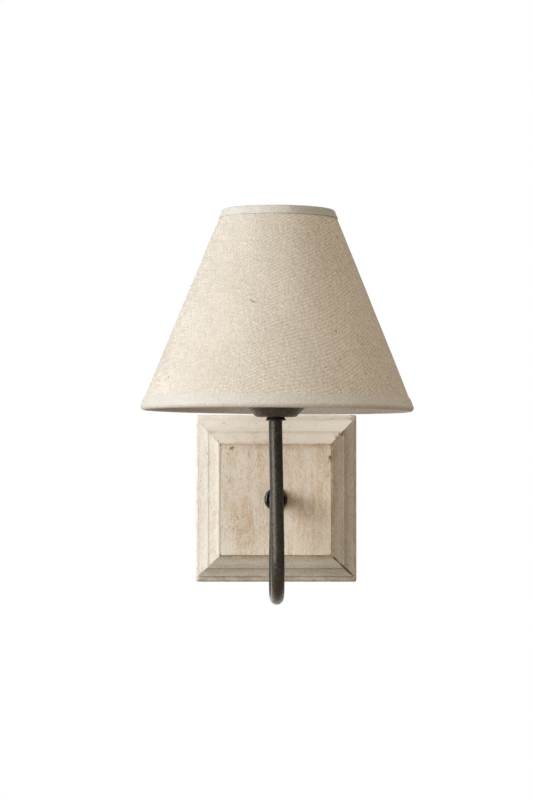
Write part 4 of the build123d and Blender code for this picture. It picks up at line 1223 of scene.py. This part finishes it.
TO_RIGHT, TO_BACK = w_step(0, -0.25, 0.25), w_step(1, -0.25, 0.25)
UPPER, LOWER = w_step(2, 0.12, 0.5), w_step(2, -0.12, -0.5)
above = w_blend(TO_BACK, w_blend(TO_RIGHT, SKY["front_left"], SKY["front_right"]), w_blend(TO_RIGHT, SKY["back_left"], SKY["back_right"]))
level = w_blend(TO_BACK, w_blend(TO_RIGHT, SKY["level_left"], SKY["level_right"]), w_blend(TO_RIGHT, SKY["level_back_left"], SKY["level_back_right"]))
wt.links.new(w_blend(UPPER, w_blend(LOWER, level, SKY["below"]), above), w_amb.inputs["Color"])
w_white = wt.nodes.new("ShaderNodeBackground")
w_white.inputs["Color"].default_value = (1, 1, 1, 1)
w_white.inputs["Strength"].default_value = 1.0
w_ray = wt.nodes.new("ShaderNodeLightPath")
wt.links.new(w_ray.outputs["Is Camera Ray"], w_mix.inputs[0])
wt.links.new(w_amb.outputs[0], w_mix.inputs[1])
wt.links.new(w_white.outputs[0], w_mix.inputs[2])
wt.links.new(w_mix.outputs[0], w_out.inputs[0])


def softbox(name, azimuth, elevation, distance, size, power, color):
    """A soft light of a width and a height. Azimuth is degrees to the left of the lamp's front."""
    data = bpy.data.lights.new(name, "AREA")
    data.shape, data.energy, data.color = "RECTANGLE", power, color
    data.size, data.size_y = size
    ob = bpy.data.objects.new(name, data)
    a, e = math.radians(azimuth), math.radians(elevation)
    at = Vector((0, -0.09, 0.06))
    to = Vector((-math.sin(a) * math.cos(e), -math.cos(a) * math.cos(e), math.sin(e)))
    ob.location = at + to * distance
    ob.rotation_mode = "QUATERNION"
    ob.rotation_quaternion = to.to_track_quat("Z", "Y")
    ob.visible_camera = False
    bpy.context.scene.collection.objects.link(ob)
    return ob


softbox("key", 46, 1, 1.6, (0.72, 0.72), 13.2, (0.958, 0.942, 0.910))
softbox("side", 90, 30, 1.6, (0.75, 0.75), 6.5, (0.92, 0.98, 1.08))
softbox("strip", 66, 2, 1.6, (0.40, 0.9), 8.0, (0.96, 0.98, 0.96))
softbox("rim", 178, -28, 1.6, (1.8, 1.2), 7.0, (1.0, 0.96, 0.89))

cam_data = bpy.data.cameras.new("camera")
cam_data.sensor_width = 36.0
cam_data.lens = 2720 * 36 / 800
cam_data.clip_start, cam_data.clip_end = 0.05, 50
cam = bpy.data.objects.new("camera", cam_data)
bpy.context.scene.collection.objects.link(cam)
bpy.context.scene.camera = cam
cam.location = (-0.004, -2.13, 0.0137)
# the middle of the plate's face lands right of and below the middle of the picture
FACE, PIXEL, FOCAL = Vector((0, PANEL_Y * MM, PLATE_Z * MM)), (275.9, 498.4), 2720.0
to = (FACE - cam.location).normalized()
ray = Vector(((PIXEL[0] - 266.5) / FOCAL, -(PIXEL[1] - 400.0) / FOCAL, -1.0)).normalized()
yaw0, pitch0 = math.atan2(-to.x, to.y), math.asin(to.z)
cam.rotation_mode = "XYZ"
cam.rotation_euler = (
    math.pi / 2 + pitch0 + math.atan((PIXEL[1] - 400.0) / FOCAL),
    0.0,
    yaw0 + math.atan((PIXEL[0] - 266.5) / FOCAL),
)

view = bpy.context.scene.view_settings
view.view_transform = "Standard"
view.look = "None"

bpy.context.view_layer.update()
